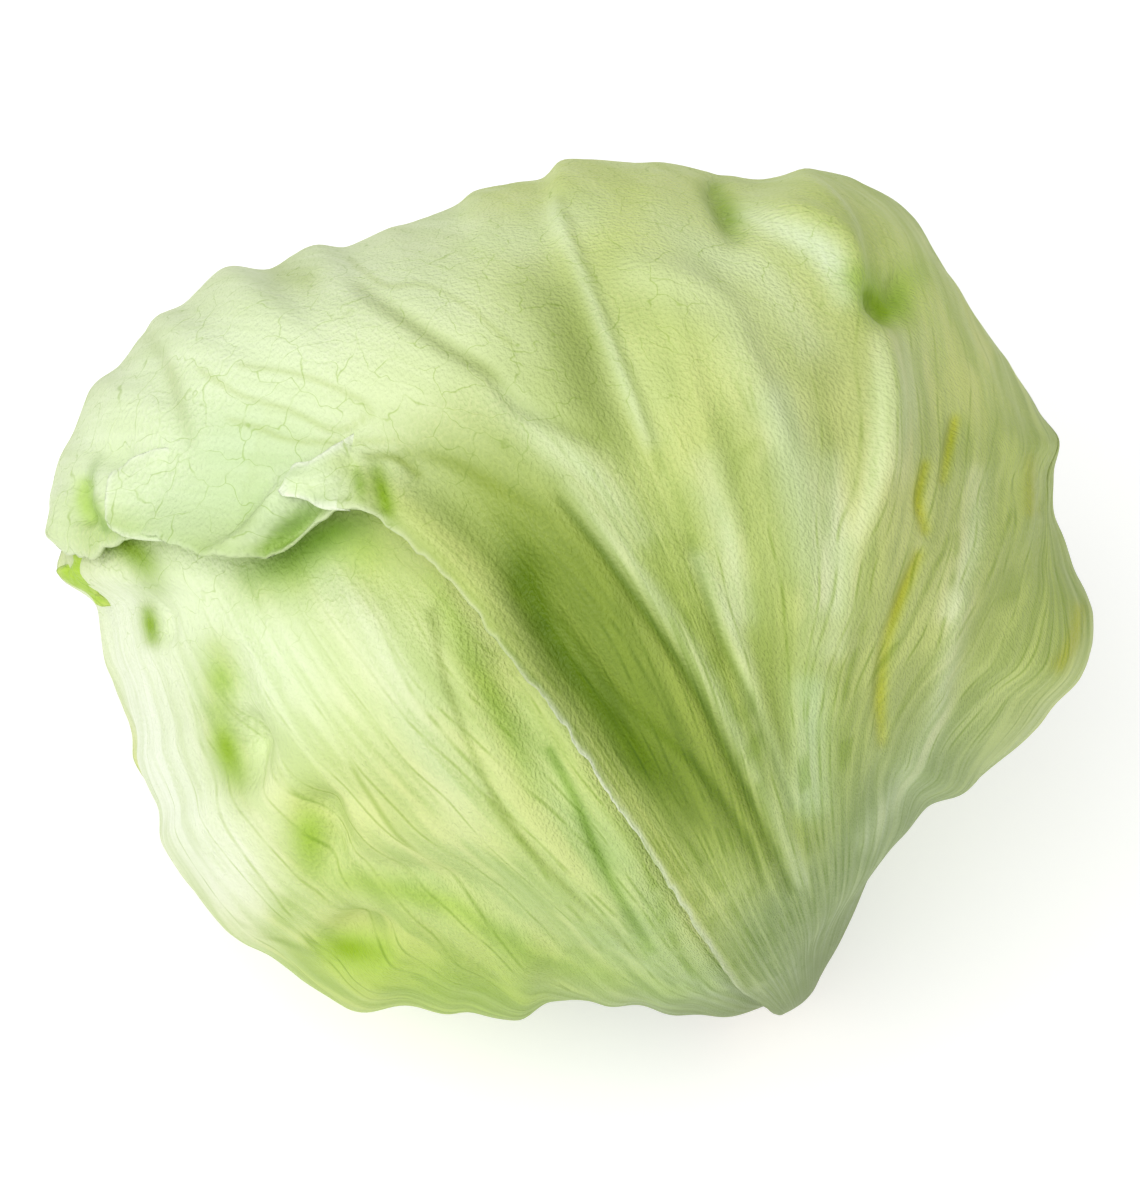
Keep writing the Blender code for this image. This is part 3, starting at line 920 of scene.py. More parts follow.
    def lay(self, across: Array, along: Array) -> tuple[Array, Array, dict[str, Array]]:
        """Lays a grid on the head.

        Args:
            across: Shares of the way from one side edge to the other.
            along: Shares of the way from the foot to the tip.

        Returns:
            World points of the outer and the inner face, and the grid's attributes.
        """
        place = self.toothed(self.places(across, along), across, along)
        grain = self.grain(place, across)
        waves = self.plan.waves * self.edge_waves(across, along)
        relief = self.small_relief(self.head.direction_at(place), grain)
        relief = relief * smoothstep(*self.relief_from, along)
        thinned = smoothstep(0.0, self.thick_foot_share, along)
        blade = self.blade_at_foot + (self.blade - self.blade_at_foot) * thinned
        outer, inner, face = self.raised(place, waves + relief, blade)
        tint = self.colours(face, grain, across)
        return outer, inner, self.attributes(place, face, grain, tint)

    def lay_tongue(
        self, tongue: Tongue, across: Array, along: Array
    ) -> tuple[Array, Array, dict[str, Array]]:
        """Lays a lap of the leaf's edge.

        Args:
            tongue: The lap.
            across: Shares of the way from its lower to its upper side.
            along: Shares of the way from its root to its tip.

        Returns:
            The same as for the leaf's own grid.
        """
        place = tongue.places(across, along)
        ribs, length, width = tongue.grain_size
        grain = np.broadcast_arrays(across[:, None] * ribs, along[None, :] * length, width)
        grain = np.stack(grain, axis=-1)
        outer, inner, face = self.raised(place, tongue.lift(across, along), self.blade)
        edge = np.minimum(np.minimum(across, 1.0 - across)[:, None], 1.0 - along[None, :])
        edge = tongue.edge_strength * np.exp(-((edge / tongue.edge_width) ** 2))[..., None]
        tint = self.colours(face, grain, np.full(len(across), 0.5)) / self.paleness
        tint = tint + (tongue.body_tone.linear - tint) * tongue.body_strength
        tint = (tint + (tongue.edge_tone.linear - tint) * edge) * self.paleness
        return outer, inner, self.attributes(place, face, grain, tint)

    def raised(self, place: Array, lift: Array, blade: Array) -> tuple[Array, Array, Array]:
        """Raises map places to the leaf's own height on the head.

        Args:
            place: The map places.
            lift: How far each stands off, in millimetres.
            blade: The leaf's thickness, in millimetres.

        Returns:
            World points of the outer and the inner face, and face-on points of the outer one.
        """
        head = self.head
        direction = head.direction_at(place)
        radius = head.radius(direction, self.plan.folds) - self.plan.layers * self.layer
        radius = radius + heights(place, self.plan.lifts) + lift
        outer = head.cut_by_table(direction, radius, head.centre_height)
        face = direction * outer[..., None]
        return head.to_world(face), head.to_world(direction * (outer - blade)[..., None]), face

    def attributes(self, place: Array, face: Array, grain: Array, tint: Array) -> dict[str, Array]:
        """Collects what the finish reads at each point of a grid.

        Args:
            place: The map places.
            face: Face-on points.
            grain: The grain there.
            tint: The painted colour there.

        Returns:
            The tint, the marks, the grain and the place on a flat chart in millimetres.
        """
        a_degree = math.radians(self.mean_radius)
        chart = np.stack([place.real * a_degree, place.imag * a_degree, np.zeros(place.shape)], axis=-1)
        return {"tint": tint, "marks": self.marks(face), "grain": grain, "chart": chart}

    def small_relief(self, direction: Array, grain: Array) -> Array:
        """Puckers between the ribs and fine ridges along them.

        Args:
            direction: Face-on unit vectors.
            grain: The grain there.

        Returns:
            Millimetres at each place.
        """
        point = direction * self.mean_radius
        sizes = zip(self.pucker_sizes, self.pucker_seeds)
        wide, fine = [crumple(point / size, seed) for size, seed in sizes]
        puckers = wide + self.fine_pucker * fine
        seed, fine_seed = self.ridge_seeds
        ridges = 1.0 - 2.0 * np.abs(crumple(grain * np.array(self.ridge_pitch), seed))
        ridges = ridges + self.fine_ridge * crumple(grain * np.array(self.fine_ridge_pitch), fine_seed)
        ridges = ridges * smoothstep(*self.ridge_width, grain[..., 2])
        ridges = ridges * smoothstep(*self.ridge_reach, self.head.from_stem(direction))
        return self.pucker * puckers + self.corrugation * ridges

    def colours(self, face: Array, grain: Array, across: Array) -> Array:
        """The painted colour at face-on points, in linear light.

        Args:
            face: Face-on points of a grid on the leaf.
            grain: The grain there.
            across: Shares of the way from one side edge to the other.

        Returns:
            A colour for each point.
        """
        direction = unit(face)
        from_stem = self.head.from_stem(direction)
        colour = np.broadcast_to(self.plan.ground.linear, face.shape).copy()

        def paint(tone: Tone, share: Array) -> None:
            """Paints a share of a tone over what is there."""
            share = np.clip(share, 0.0, 1.0)[..., None]
            colour[...] = colour + (tone.linear - colour) * share

        broad = crumple(face / self.patch_size, self.patch_seed)
        paint(Tone.LIGHT, self.light_patch * smoothstep(*self.patch_reach, broad))
        paint(Tone.OLIVE, self.dark_patch * smoothstep(*self.patch_reach, -broad))
        paint(Tone.PALE, self.pale_foot * smoothstep(*self.pale_foot_reach, from_stem))
        front = self.head.front_share(face)
        places = self.head.seen(face)
        for stroke in self.plan.strokes:
            paint(stroke.tone, stroke.line.spread(places) * front)
        # Painted shade: the leaf darkens towards the stem, on the head's underside.
        paint(Tone.BASE, self.shaded_foot * smoothstep(*self.shaded_foot_reach, from_stem))
        edge = np.minimum(across, 1.0 - across)[:, None] * self.plan.rib_count * grain[..., 2]
        least, more = self.pale_edge_share
        shown = least + more * smoothstep(*self.pale_edge_rise, from_stem)
        shown = shown * np.exp(-((edge / self.pale_edge) ** 2))
        paint(Tone.FROST, shown * smoothstep(*self.pale_edge_reach, from_stem))
        return colour * self.paleness

    def marks(self, face: Array) -> Array:
        """How far the net of veins, the ribs and the painted highlights of the fine crinkle show.

        Args:
            face: Face-on points of a grid.

        Returns:
            Three values from 0 to 1 for each point.
        """
        from_stem = self.head.from_stem(unit(face))
        net = smoothstep(*self.net_reach, from_stem)
        ribs = smoothstep(*self.rib_reach, from_stem) * smoothstep(*self.rib_foot, from_stem)
        glint = smoothstep(*self.glint_reach, crumple(face / self.glint_size, self.glint_seed))
        return np.stack([net, ribs, glint * smoothstep(*self.glint_foot, from_stem)], axis=-1)

    def build(self) -> bpy.types.Object:
        """Makes the leaf's mesh, closed round its edges, with its colours, and dresses it.

        Returns:
            The leaf's object.
        """
        blade = bmesh.new()
        sheets = [(self.plan.columns, self.plan.rows, self.lay)]
        for tongue in self.plan.tongues:
            sheets.append((tongue.columns, tongue.rows, partial(self.lay_tongue, tongue)))
        attributes = []
        for columns, rows, lay in sheets:
            rims = []
            for side, (x_count, y_count) in enumerate(((columns, rows), (columns // 2, rows // 2))):
                grid = bmesh.ops.create_grid(blade, x_segments=x_count, y_segments=y_count, size=0.5)
                made = grid["verts"]
                share = np.array([vertex.co[:2] for vertex in made]) + 0.5
                column, row = np.rint(share * (x_count, y_count)).astype(int).T
                *skins, seen = lay(np.linspace(0.0, 1.0, x_count + 1), np.linspace(0.0, 1.0, y_count + 1))
                for vertex, place in zip(made, skins[side][column, row]):
                    vertex.co = place
                attributes.append({name: values[column, row] for name, values in seen.items()})
                edges = {edge for vertex in made for edge in vertex.link_edges}
                rims += [edge for edge in edges if edge.is_boundary]
            bmesh.ops.bridge_loops(blade, edges=rims)
        bmesh.ops.recalc_face_normals(blade, faces=blade.faces)
        joined = {name: np.concatenate([part[name] for part in attributes]) for name in attributes[0]}
        return finish_piece(self.plan.name, blade, self.finish.build(), joined)


def finish_piece(
    node: str,
    mesh_edit: bmesh.types.BMesh,
    material: bpy.types.Material,
    attributes: dict[str, Array] | None = None,
) -> bpy.types.Object:
    """Turns an edited mesh into a smooth piece that stands for a CAD node.

    Args:
        node: The CAD node.
        mesh_edit: The mesh, which is freed.
        material: Its material.
        attributes: For each attribute of its vertices, a vector or colour for each.

    Returns:
        The piece.
    """
    mesh = bpy.data.meshes.new(f"{node}_look")
    mesh_edit.to_mesh(mesh)
    mesh_edit.free()
    mesh.shade_smooth()
    for name, values in (attributes or {}).items():
        layer = mesh.attributes.new(name, "FLOAT_VECTOR", "POINT")
        layer.data.foreach_set("vector", values.astype(np.float32).ravel())
    mesh.materials.append(material)
    piece = bpy.data.objects.new(f"{node}_look", mesh)
    bpy.context.scene.collection.objects.link(piece)
    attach(piece, "root")
    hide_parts(node)
    return piece


@dataclass(frozen=True)
class HeartFinish:
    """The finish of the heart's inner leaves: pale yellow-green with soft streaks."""

    name: str = "heart_leaf_finish"
    roughness: float = 0.5
    patch_pitch: float = 0.08
    patch_reach: tuple[float, float] = (0.35, 0.65)
    relief: float = 0.5

    def build(self) -> bpy.types.Material:
        """Builds the material.

        Returns:
            The material.
        """
        shader = Shader(self.name, self.roughness)
        patch = shader.noise(shader.place(), self.patch_pitch, 4.0)
        colour = shader.mix(shader.ramp(patch, *self.patch_reach), Tone.LIGHT.paint, Tone.CREAM.paint)
        return shader.finish(colour, shader.bump(patch, self.relief))


@dataclass
class Heart:
    """The dense middle of the head, with the edges of its leaves as low steps round it."""

    head: HeadForm
    finish: HeartFinish
    depth: float = 10.5
    sides: int = 96
    rings: int = 54
    leaves: float = 5.0
    step: float = 1.6
    floor_gap: float = 5.4

    def build(self) -> bpy.types.Object:
        """Makes the heart and dresses it.

        Returns:
            The heart's object.
        """
        head = self.head
        heart = bmesh.new()
        bmesh.ops.create_uvsphere(heart, u_segments=self.sides, v_segments=self.rings, radius=1.0)
        ball = unit(np.array([vertex.co for vertex in heart.verts]))
        stem, front, right = head.axes
        direction = ball[:, 2:3] * stem + ball[:, 0:1] * front + ball[:, 1:2] * right
        from_stem = np.arccos(np.clip(ball[:, 2], -1.0, 1.0))
        turn = np.arctan2(ball[:, 1], ball[:, 0])
        lap = (self.leaves * turn / (2.0 * math.pi) + from_stem / math.pi) % 1.0
        radius = head.radius(direction) - self.depth - self.step * lap * np.sin(from_stem)
        up = np.maximum(ball[:, 2], head.least_down)
        cut = (head.stem_top - head.clearance) / up
        radius = np.minimum(radius, np.where(ball[:, 2] > head.least_down, cut, np.inf))
        radius = head.cut_by_table(direction, radius, head.centre_height - self.depth + self.floor_gap)
        for vertex, point in zip(heart.verts, head.to_world(direction * radius[:, None])):
            vertex.co = point
        bmesh.ops.recalc_face_normals(heart, faces=heart.faces)
        return finish_piece("heart", heart, self.finish.build())


@dataclass(frozen=True)
class StemFinish:
    """The finish of the cut stem: pale rings of vessels, browned towards the rim."""

    name: str = "cut_stem_finish"
    roughness: float = 0.6
    fibre_pitch: float = 0.9
    fibre: tuple[float, float, float, float] = (0.4, 0.75, 0.0, 0.4)
    blotch_pitch: float = 0.22
    raggedness: float = 0.5
    rust_reach: tuple[float, float] = (0.85, 1.25)
    relief: float = 0.6

    def build(self) -> bpy.types.Material:
        """Builds the material, which reads how far each point of the mesh is from the stem's axis.

        Returns:
            The material.
        """
        shader = Shader(self.name, self.roughness)
        place = shader.place()
        out = shader.node("ShaderNodeSeparateColor", {0: shader.attribute("tint", "Color")}, "Red")
        fibre = shader.noise(place, self.fibre_pitch, 4.0)
        blotch = shader.noise(place, self.blotch_pitch, 3.0)
        ragged = shader.add(out, shader.times(blotch, self.raggedness))
        colour = shader.mix(shader.ramp(ragged, *self.rust_reach), Tone.CUT.paint, Tone.RUST.paint)
        colour = shader.mix(shader.ramp(fibre, *self.fibre), colour, Tone.CREAM.paint)
        return shader.finish(colour, shader.bump(shader.add(fibre, blotch), self.relief))


@dataclass
class Stem:
    """The cut stalk that the leaves grow from."""

    head: HeadForm
    finish: StemFinish
    sides: int = 64
    chamfer: float = 1.2
    chamfer_steps: int = 3
    dish: float = 1.0
    rings: int = 5
    core: float = 1.5
    roughness: float = 0.3
    rough_pitch: float = 0.3
    rough_to: float = 0.9
    face_depth: float = 0.1

    def build(self) -> bpy.types.Object:
        """Makes the stem and dresses it.

        Returns:
            The stem's object.
        """
        head = self.head
        stem = bmesh.new()
        length = head.stem_end - head.stem_top
        bmesh.ops.create_cone(
            stem,
            cap_ends=True,
            segments=self.sides,
            radius1=head.stem_top_radius,
            radius2=head.stem_radius,
            depth=length,
        )
        rims = [edge for edge in stem.edges if any(len(face.verts) > 4 for face in edge.link_faces)]
        bmesh.ops.bevel(
            stem,
            geom=rims,
            offset=self.chamfer,
            segments=self.chamfer_steps,
            profile=0.5,
            affect="EDGES",
            material=-1,
        )
        cut_face = max(stem.faces, key=lambda face: face.calc_center_median().z)
        for ring in range(self.rings):
            thickness = head.stem_radius / (self.rings + self.core)
            bmesh.ops.inset_region(stem, faces=[cut_face], thickness=thickness)
        bmesh.ops.poke(stem, faces=[cut_face])
        for vertex in stem.verts:
            out = math.hypot(vertex.co.x, vertex.co.y) / head.stem_radius
            if vertex.co.z > 0.5 * length - self.face_depth:
                rough = self.roughness * noise.noise(Vector(vertex.co) * self.rough_pitch)
                vertex.co.z -= self.dish * (1.0 - out**2) + rough * (out < self.rough_to)
        reach = [math.hypot(vertex.co.x, vertex.co.y) / head.stem_radius for vertex in stem.verts]
        tint = np.repeat(np.array(reach)[:, None], 3, axis=1)
        turn = Vector(head.face_to_world @ head.axes[0]).to_track_quat("Z", "Y").to_matrix().to_4x4()
        middle = head.to_world(0.5 * (head.stem_top + head.stem_end) * head.axes[0])
        placed = Matrix.Translation(Vector(middle)) @ turn @ Matrix.Scale(MM, 4)
        bmesh.ops.transform(stem, matrix=placed, verts=stem.verts)
        bmesh.ops.recalc_face_normals(stem, faces=stem.faces)
        return finish_piece("stem", stem, self.finish.build(), {"tint": tint})


@dataclass
class Studio:
    """The pale floor, the soft lights and the camera."""

    head: HeadForm
    floor_size: float = 6.0
    floor_tones: tuple[Triple, Triple] = ((0.59, 0.59, 0.585), (0.61, 0.61, 0.605))
    floor_pitch: float = 0.02
    floor_relief: float = 0.05
    floor_roughness: float = 0.9
    floor_glow: float = 0.55
    backdrop: float = 0.5
    lights: tuple[tuple[str, float, float, float, float], ...] = (
        ("key_light", -40.0, 57.0, 1.8, 27.0),
        ("fill_light", 62.0, 40.0, 1.6, 1.5),
    )
    light_distance: float = 1.8
    pixels_a_metre: float = 5660.0
    photo_height: float = 1200.0
    sensor: float = 36.0
    sink: float = 10.0

    def lay_floor(self) -> bpy.types.Object:
        """Makes the plain floor, which glows a little so that it looks white.

        Returns:
            The floor.
        """
        ground = bmesh.new()
        bmesh.ops.create_grid(ground, x_segments=1, y_segments=1, size=0.5 * self.floor_size)
        mesh = bpy.data.meshes.new("floor")
        ground.to_mesh(mesh)
        ground.free()
        shader = Shader("floor_paper", self.floor_roughness)
        inputs = {"Vector": shader.place(), "Scale": self.floor_pitch, "Detail": 2.0}
        shade = shader.node("ShaderNodeTexNoise", inputs)
        colour = shader.mix(shade, *((*tone, 1.0) for tone in self.floor_tones))
        shader.surface.inputs["Emission Color"].default_value = (1.0, 1.0, 1.0, 1.0)
        shader.surface.inputs["Emission Strength"].default_value = self.floor_glow
        mesh.materials.append(shader.finish(colour, shader.bump(shade, self.floor_relief)))
        floor = bpy.data.objects.new("floor", mesh)
        bpy.context.scene.collection.objects.link(floor)
        return floor

    def hang_light(self, name: str, azimuth: float, elevation: float, size: float, power: float) -> None:
        """Hangs a square light that faces the head.

        Args:
            name: The light's name.
            azimuth: Degrees round from the camera's side towards the right.
            elevation: Degrees above the table.
            size: The light's width in metres.
            power: Its power in watts.
        """
        light = bpy.data.lights.new(name, "AREA")
        light.shape = "SQUARE"
        light.size = size
        light.energy = power
        lamp = bpy.data.objects.new(name, light)
        bpy.context.scene.collection.objects.link(lamp)
        turn = math.radians(azimuth)
        rise = math.radians(elevation)
        flat = math.cos(rise)
        away = Vector((math.sin(turn) * flat, -math.cos(turn) * flat, math.sin(rise)))
        lamp.location = away * self.light_distance
        lamp.rotation_euler = away.to_track_quat("Z", "Y").to_euler()

    def light(self) -> None:
        """Sets the soft studio light."""
        world = bpy.data.worlds.new("studio")
        world.use_nodes = True
        backdrop = world.node_tree.nodes["Background"]
        backdrop.inputs["Color"].default_value = (1.0, 1.0, 1.0, 1.0)
        backdrop.inputs["Strength"].default_value = self.backdrop
        bpy.context.scene.world = world
        bpy.context.scene.view_settings.view_transform = "Standard"
        for light in self.lights:
            self.hang_light(*light)

    def place_camera(self) -> bpy.types.Object:
        """Sets the camera at the photograph's viewing angle.

        Returns:
            The camera's object.
        """
        camera = bpy.data.cameras.new("camera")
        span = self.photo_height / self.pixels_a_metre
        camera.sensor_width = self.sensor
        camera.lens = self.sensor * self.head.eye_distance * MM / span
        camera.shift_y = -self.sink / self.photo_height
        viewer = bpy.data.objects.new("camera", camera)
        bpy.context.scene.collection.objects.link(viewer)
        rise = math.radians(self.head.face_elevation)
        middle = Vector((0.0, 0.0, self.head.centre_height * MM))
        away = Vector((0.0, -math.cos(rise), math.sin(rise)))
        viewer.location = middle + self.head.eye_distance * MM * away
        viewer.rotation_euler = (math.pi / 2.0 - rise, 0.0, 0.0)
        bpy.context.scene.camera = viewer
        return viewer


TOP_LEAF = LeafPlan(
    name="top_leaf",
    slot="top_leaf",
    ribs=(
        (
            -9, (115, -14), (81, -15), (57, -21), (49, -37), (33, -45), (26, -50), (19, -53.6),
            (12, -54.4), (4, -54), (-5, -53),
        ),
        (-2, (131, -5), (102, -6), (75, -9), (60, -14), (48, -22), (28, -36), (12, -43), (-14, -49)),
        (4, (133, 5), (104, 10), (77, 8), (51, -2), (28, -18), (-2, -33), (-28, -40)),
        (8, (122, 14), (98, 17), (70, 15), (43, 8), (18, -5), (-10, -17), (-39, -26)),
        (12, (113, 21), (93, 23), (64, 23), (36, 20), (10, 15), (-20, 3), (-46, -10)),
        (17, (105, 38), (85, 49), (63, 57), (42, 58), (14, 54), (-18, 36), (-50, 8)),
        (24, (108, 51), (85, 65), (60, 75), (37, 77), (16, 73), (-16, 58), (-51, 28)),
        (42, (97, 84), (71, 93), (45, 98), (18, 96), (-8, 86), (-32, 70), (-54, 48)),
        (64, (60, 108), (40, 104), (20, 98), (-4, 90), (-26, 78), (-44, 66), (-55, 54)),
        (92, (2, 112), (-8, 103), (-18, 95), (-28, 87), (-40, 77), (-50, 68), (-57, 61)),
        (120, (-56, 104), (-50, 98), (-49, 92), (-51, 86), (-54, 80), (-56, 75), (-59, 70)),
    ),
    lifts=lines_of(
        (4.5, ((134, -18, 0.5), (115, -14, 1.5), (89, -15, 3), (69, -16, 4), (62, -19, 5), (57, -21, 5))),
        (4.0, (
            (57, -21, 1), (53, -31, 3.5), (47, -39, 4.5), (37, -44, 4), (25, -49, 1), (12, -53, -0.6),
            (-5, -54, -1.4),
        )),
        (4.0, (
            (-14, -49, 2), (-28, -40, 1), (-39, -26, 3), (-46, -10, 1), (-50, 8, 3), (-51, 28, 1),
            (-59, 70, 3),
        )),
    ),
    layers=0.0,
    tongues=(
        # The turned-over tongue in the middle of the left edge
        Tongue(
            lower=((56.8, -21.5), (54.5, -24.0), (52.2, -25.3), (50.4, -26.2), (48.8, -27.6)),
            upper=((48.2, -14.5), (48.8, -18.2), (48.6, -21.6), (46.8, -24.2), (48.2, -27.2)),
            rise=(-0.9, 1.6, 2.8, 3.0, 2.6),
        ),
        # The lobe in front of the ruffle at the far left
        Tongue(
            lower=((38.0, -42.6), (34.6, -44.6), (31.6, -46.0), (29.0, -46.6), (26.6, -46.2)),
            upper=((34.0, -32.0), (30.0, -34.6), (27.0, -37.0), (24.6, -39.4), (23.4, -42.0)),
            rise=(-0.9, -0.2, 0.6, 1.6, 2.4),
            edge_strength=0.5,
            edge_width=0.06,
            arch=0.4,
        ),
    ),
    waves=0.6,
    columns=320,
    rows=234,
    rib_count=36.0,
    teeth=0.7,
    folds=lines_of(
        # The rolled lip: a ridge, the groove below it, and the ruffle at the far left
        (2.0, ((-49.6, 18.5, 1.5), (-50.4, 16.6, 3), (-52.9, 12.8, 3.6), (-56.1, 9, 3), (-59.6, 6.2, 1.8))),
        (0.9, ((-53.2, 18.2, -1), (-55.8, 13.6, -1.2), (-58.6, 9.6, -0.6))),
        (1.6, ((-44.4, 15.6, -2), (-47.4, 12.6, -4), (-50.2, 9.8, -4), (-53.8, 6.6, -2))),
        (2.0, ((-81.3, 19, 1), (-81.3, 15, 2))),
        (1.6, ((-85.5, 18, -2), (-84.8, 13, -3))),
        (2.2, ((-89, 16, 1.5), (-90, 10, 2.5))),
        (2.5, ((-82, 24, -1.2), (-79, 23.5, -1.6))),
        # The margin's body beside the turned-over tongue, with its dents
        (4.0, ((-39, 22, 1), (-30, 16, 2), (-21, 7, 2), (-14, -3, 1.6), (-9, -15, 1), (2, -30, 0.6))),
        (1.2, ((-37.5, 21, -1.4), (-37.5, 16, -1.4))),
        (1.8, ((-32.5, 21, -1.6), (-31.8, 14.5, -2.2))),
        (0.9, ((-30, 23.9, -1), (-27.9, 21.2, -1))),
        # Creases and ridges over the right shoulder
        (1.8, ((25.6, 70.7, -2.5), (27.9, 65.7, -2.5), (29.2, 62.7, -1))),
        (2.0, ((31.8, 67.1, 0.8), (40.6, 64.5, 1.2), (45.9, 61, 1.2), (50.9, 53.9, 1))),
        (2.5, ((40.6, 72.4, 1.2), (45.9, 67.1, 1.5), (50.4, 58.3, 1))),
        (1.5, ((52.6, 52, -1.8), (52.8, 50, -1.8))),
        (1.6, ((55.1, 51.5, -2.2), (55.2, 49, -2.2))),
        (1.5, ((58.3, 55.5, -1.5), (58.5, 53.5, -1.5))),
        (2.6, ((12.4, 56.5, 0.6), (26.5, 51.2, 1), (30.9, 40.6, 1), (37.1, 26.5, 0.8))),
        (1.2, ((15.9, 53, 0.5), (21.2, 38.9, 0.6), (26.5, 21.2, 0.6), (30, 8.8, 0.5))),
        (2.2, (
            (54.8, 44.2, 0.6), (55.1, 37.1, 1), (54.8, 26.5, 1), (53, 15.9, 1), (49.5, 5.3, 0.8),
            (47.7, -10.6, 0.6),
        )),
        # Slits and ribs of the right side
        (0.9, ((68, 30, -0.8), (67.1, 25.6, -1), (65.9, 19.4, -0.7))),
        (1.0, ((62.7, 22.1, -0.8), (61.5, 15.9, -1.2), (62.7, 10.6, -0.8))),
        (1.2, ((81.3, 23, -0.8), (81.3, 14, -0.8))),
        (1.1, (
            (61.5, 6.2, -0.8), (58.3, -1.8, -1.2), (55.7, -10.6, -1), (54.8, -19.4, -1),
            (55.1, -26.5, -0.6),
        )),
        (2.2, ((68.9, -1.8, 1), (67.1, -12.4, 1), (63.6, -26.5, 0.8), (52, -44, 0.6))),
        # Ribs of the fan
        (1.3, (
            (-1.8, 15.9, -0.5), (5.3, 7.1, -0.8), (14.1, -5.3, -0.9), (21.2, -15.9, -0.9),
            (30.9, -35.3, -0.8), (38.9, -53, -0.6),
        )),
        (1.6, (
            (0.5, 18, 0.2), (8, 8.5, 0.3), (17, -4, 0.4), (24, -15, 0.4), (33.5, -34, 0.3), (41, -51, 0.2),
        )),
        (1.2, ((21.2, 8.8, -0.5), (26.5, -8.8, -0.8), (31.8, -19.4, -0.7), (39, -38, -0.5))),
        (1.3, (
            (-1.8, -5.3, -0.5), (8.8, -19.4, -0.8), (21.2, -30, -0.8), (30, -42.4, -0.7), (34, -52, -0.5),
        )),
        (2.0, ((23, 5.3, 0.5), (30, -10.6, 0.9), (33.6, -23, 0.9), (38.9, -37.1, 0.7))),
        (1.4, ((-2.7, 67.1, 0.4), (3.5, 53, 0.6), (10.6, 35.3, 0.6), (14.1, 26.5, 0.5))),
        # Lines of the crown
        (1.4, (
            (-37.1, 53, -0.5), (-23, 43.3, -0.8), (-14.1, 38, -0.8), (-8.8, 31.8, -0.8), (5.3, 26.5, -0.5),
        )),
        (1.6, ((-74.2, 45, -0.4), (-70.7, 38.9, -0.6), (-68.6, 31.8, -0.6), (-66.8, 26.5, -0.5))),
    ),
    strokes=strokes_of(
        # The broad tones, from the crown round to the stem
        (Tone.CREAM, 24.0, ((-48, 44, 1.4), (-32, 48, 1.4), (-18, 46, 1), (-4, 38, 0.4))),
        (Tone.PALE, 18.0, ((-78, 24, 1.2), (-64, 34, 1.4), (-52, 38, 1), (-44, 28, 0.6))),
        (Tone.PALE, 5.0, ((0, 76, 0.4), (20, 76, 0.5), (36, 74, 0.5))),
        (Tone.LIGHT, 14.0, ((-12, 68, 1), (5, 70, 1.3), (25, 66, 1.2), (38, 58, 0.8))),
        (Tone.SAGE, 20.0, ((52, 36, 0.8), (60, 12, 0.8), (60, -12, 0.6))),
        (Tone.OLIVE, 7.0, ((86, 14, 0.3), (88, 0, 0.3), (84, -12, 0.3))),
        (Tone.CREAM, 3.5, ((60, 44, 0.4), (59, 33, 0.6), (57, 22, 0.4))),
        (Tone.PALE, 12.0, ((-58, 49, 0.4), (-44, 54, 0.5), (-26, 54, 0.5))),
        # The valley of the big fold: its deep olive and green, partly painted shade.
        (Tone.OLIVE, 10.0, (
            (-22, 21, 0.3), (-8, 13, 0.7), (3, 2, 1), (12, -10, 0.8), (20, -22, 0.8), (28, -36, 0.5),
        )),
        (Tone.DEEP_GREEN_AND_SHADE, 5.5, (
            (-9, 10, 0.4), (-8.5, 4, 0.9), (-7.5, -3, 1.2), (-5, -9.5, 1.3), (1.5, -19, 1.3),
            (9, -27, 1.2), (17, -34.6, 0.8), (25, -43, 0.3),
        )),
        (Tone.DEEP_GREEN_AND_SHADE, 4.5, ((0, 6, 0.3), (6, -6, 0.5), (12, -17, 0.6), (19, -28, 0.6), (26, -38, 0.3))),
        # Painted shade on the side of the ridge turned from the light.
        (Tone.OLIVE, 1.5, (
            (-29, 24.4, 0.4), (-20.3, 22.4, 0.7), (-13.3, 18.2, 0.9), (-5.3, 13.6, 0.8), (0.6, 8.8, 0.5),
        )),
        (Tone.OLIVE, 5.0, ((-7.1, 53, 0.3), (0, 45.9, 0.6), (3.5, 33.6, 0.6), (8.8, 26.5, 0.4))),
        # Painted shade on the lower right, towards the stem.
        (Tone.BASE, 12.0, ((74, -24, 0.5), (62, -36, 1), (48, -52, 1.2), (40, -62, 1.4))),
        (Tone.OLIVE, 9.0, ((28, -14, 0.5), (31, -26, 0.8), (36, -42, 0.8))),
        # The margin beside the front leaf, and the tongue
        (Tone.LIGHT, 2.6, (
            (-41, 22, 0.6), (-31, 15.5, 0.8), (-20.5, 6.5, 0.8), (-12.5, -3.5, 0.7), (-5, -15, 0.5),
            (3.5, -27, 0.6), (13, -42, 0.6), (21, -57, 0.5),
        )),
        # Painted shade in the dents and the crease beside the tongue.
        (Tone.DENT_SHADE, 1.3, ((-37.6, 20.6, 0.7), (-37.2, 18.6, 1), (-37, 16.6, 0.6))),
        (Tone.DENT_SHADE, 1.7, ((-34.2, 21, 0.7), (-33.4, 18, 1), (-32.4, 14.6, 0.9), (-31.6, 12.4, 0.4))),
        (Tone.OLIVE, 0.9, ((-36, 23.6, 0.6), (-31, 23.4, 0.8), (-26.6, 20.4, 0.6))),
        # The lip and the ruffle
        (Tone.PALE, 2.2, ((-50.6, 17, 0.8), (-53, 12.8, 0.8), (-57, 8.6, 0.7), (-62, 6, 0.4))),
        # Painted shade in the lip's crease and in the groove below its roll.
        (Tone.OLIVE, 0.8, ((-53.4, 18, 0.7), (-56, 13.6, 0.7), (-58.8, 9.6, 0.4))),
        (Tone.DENT_SHADE, 1.9, (
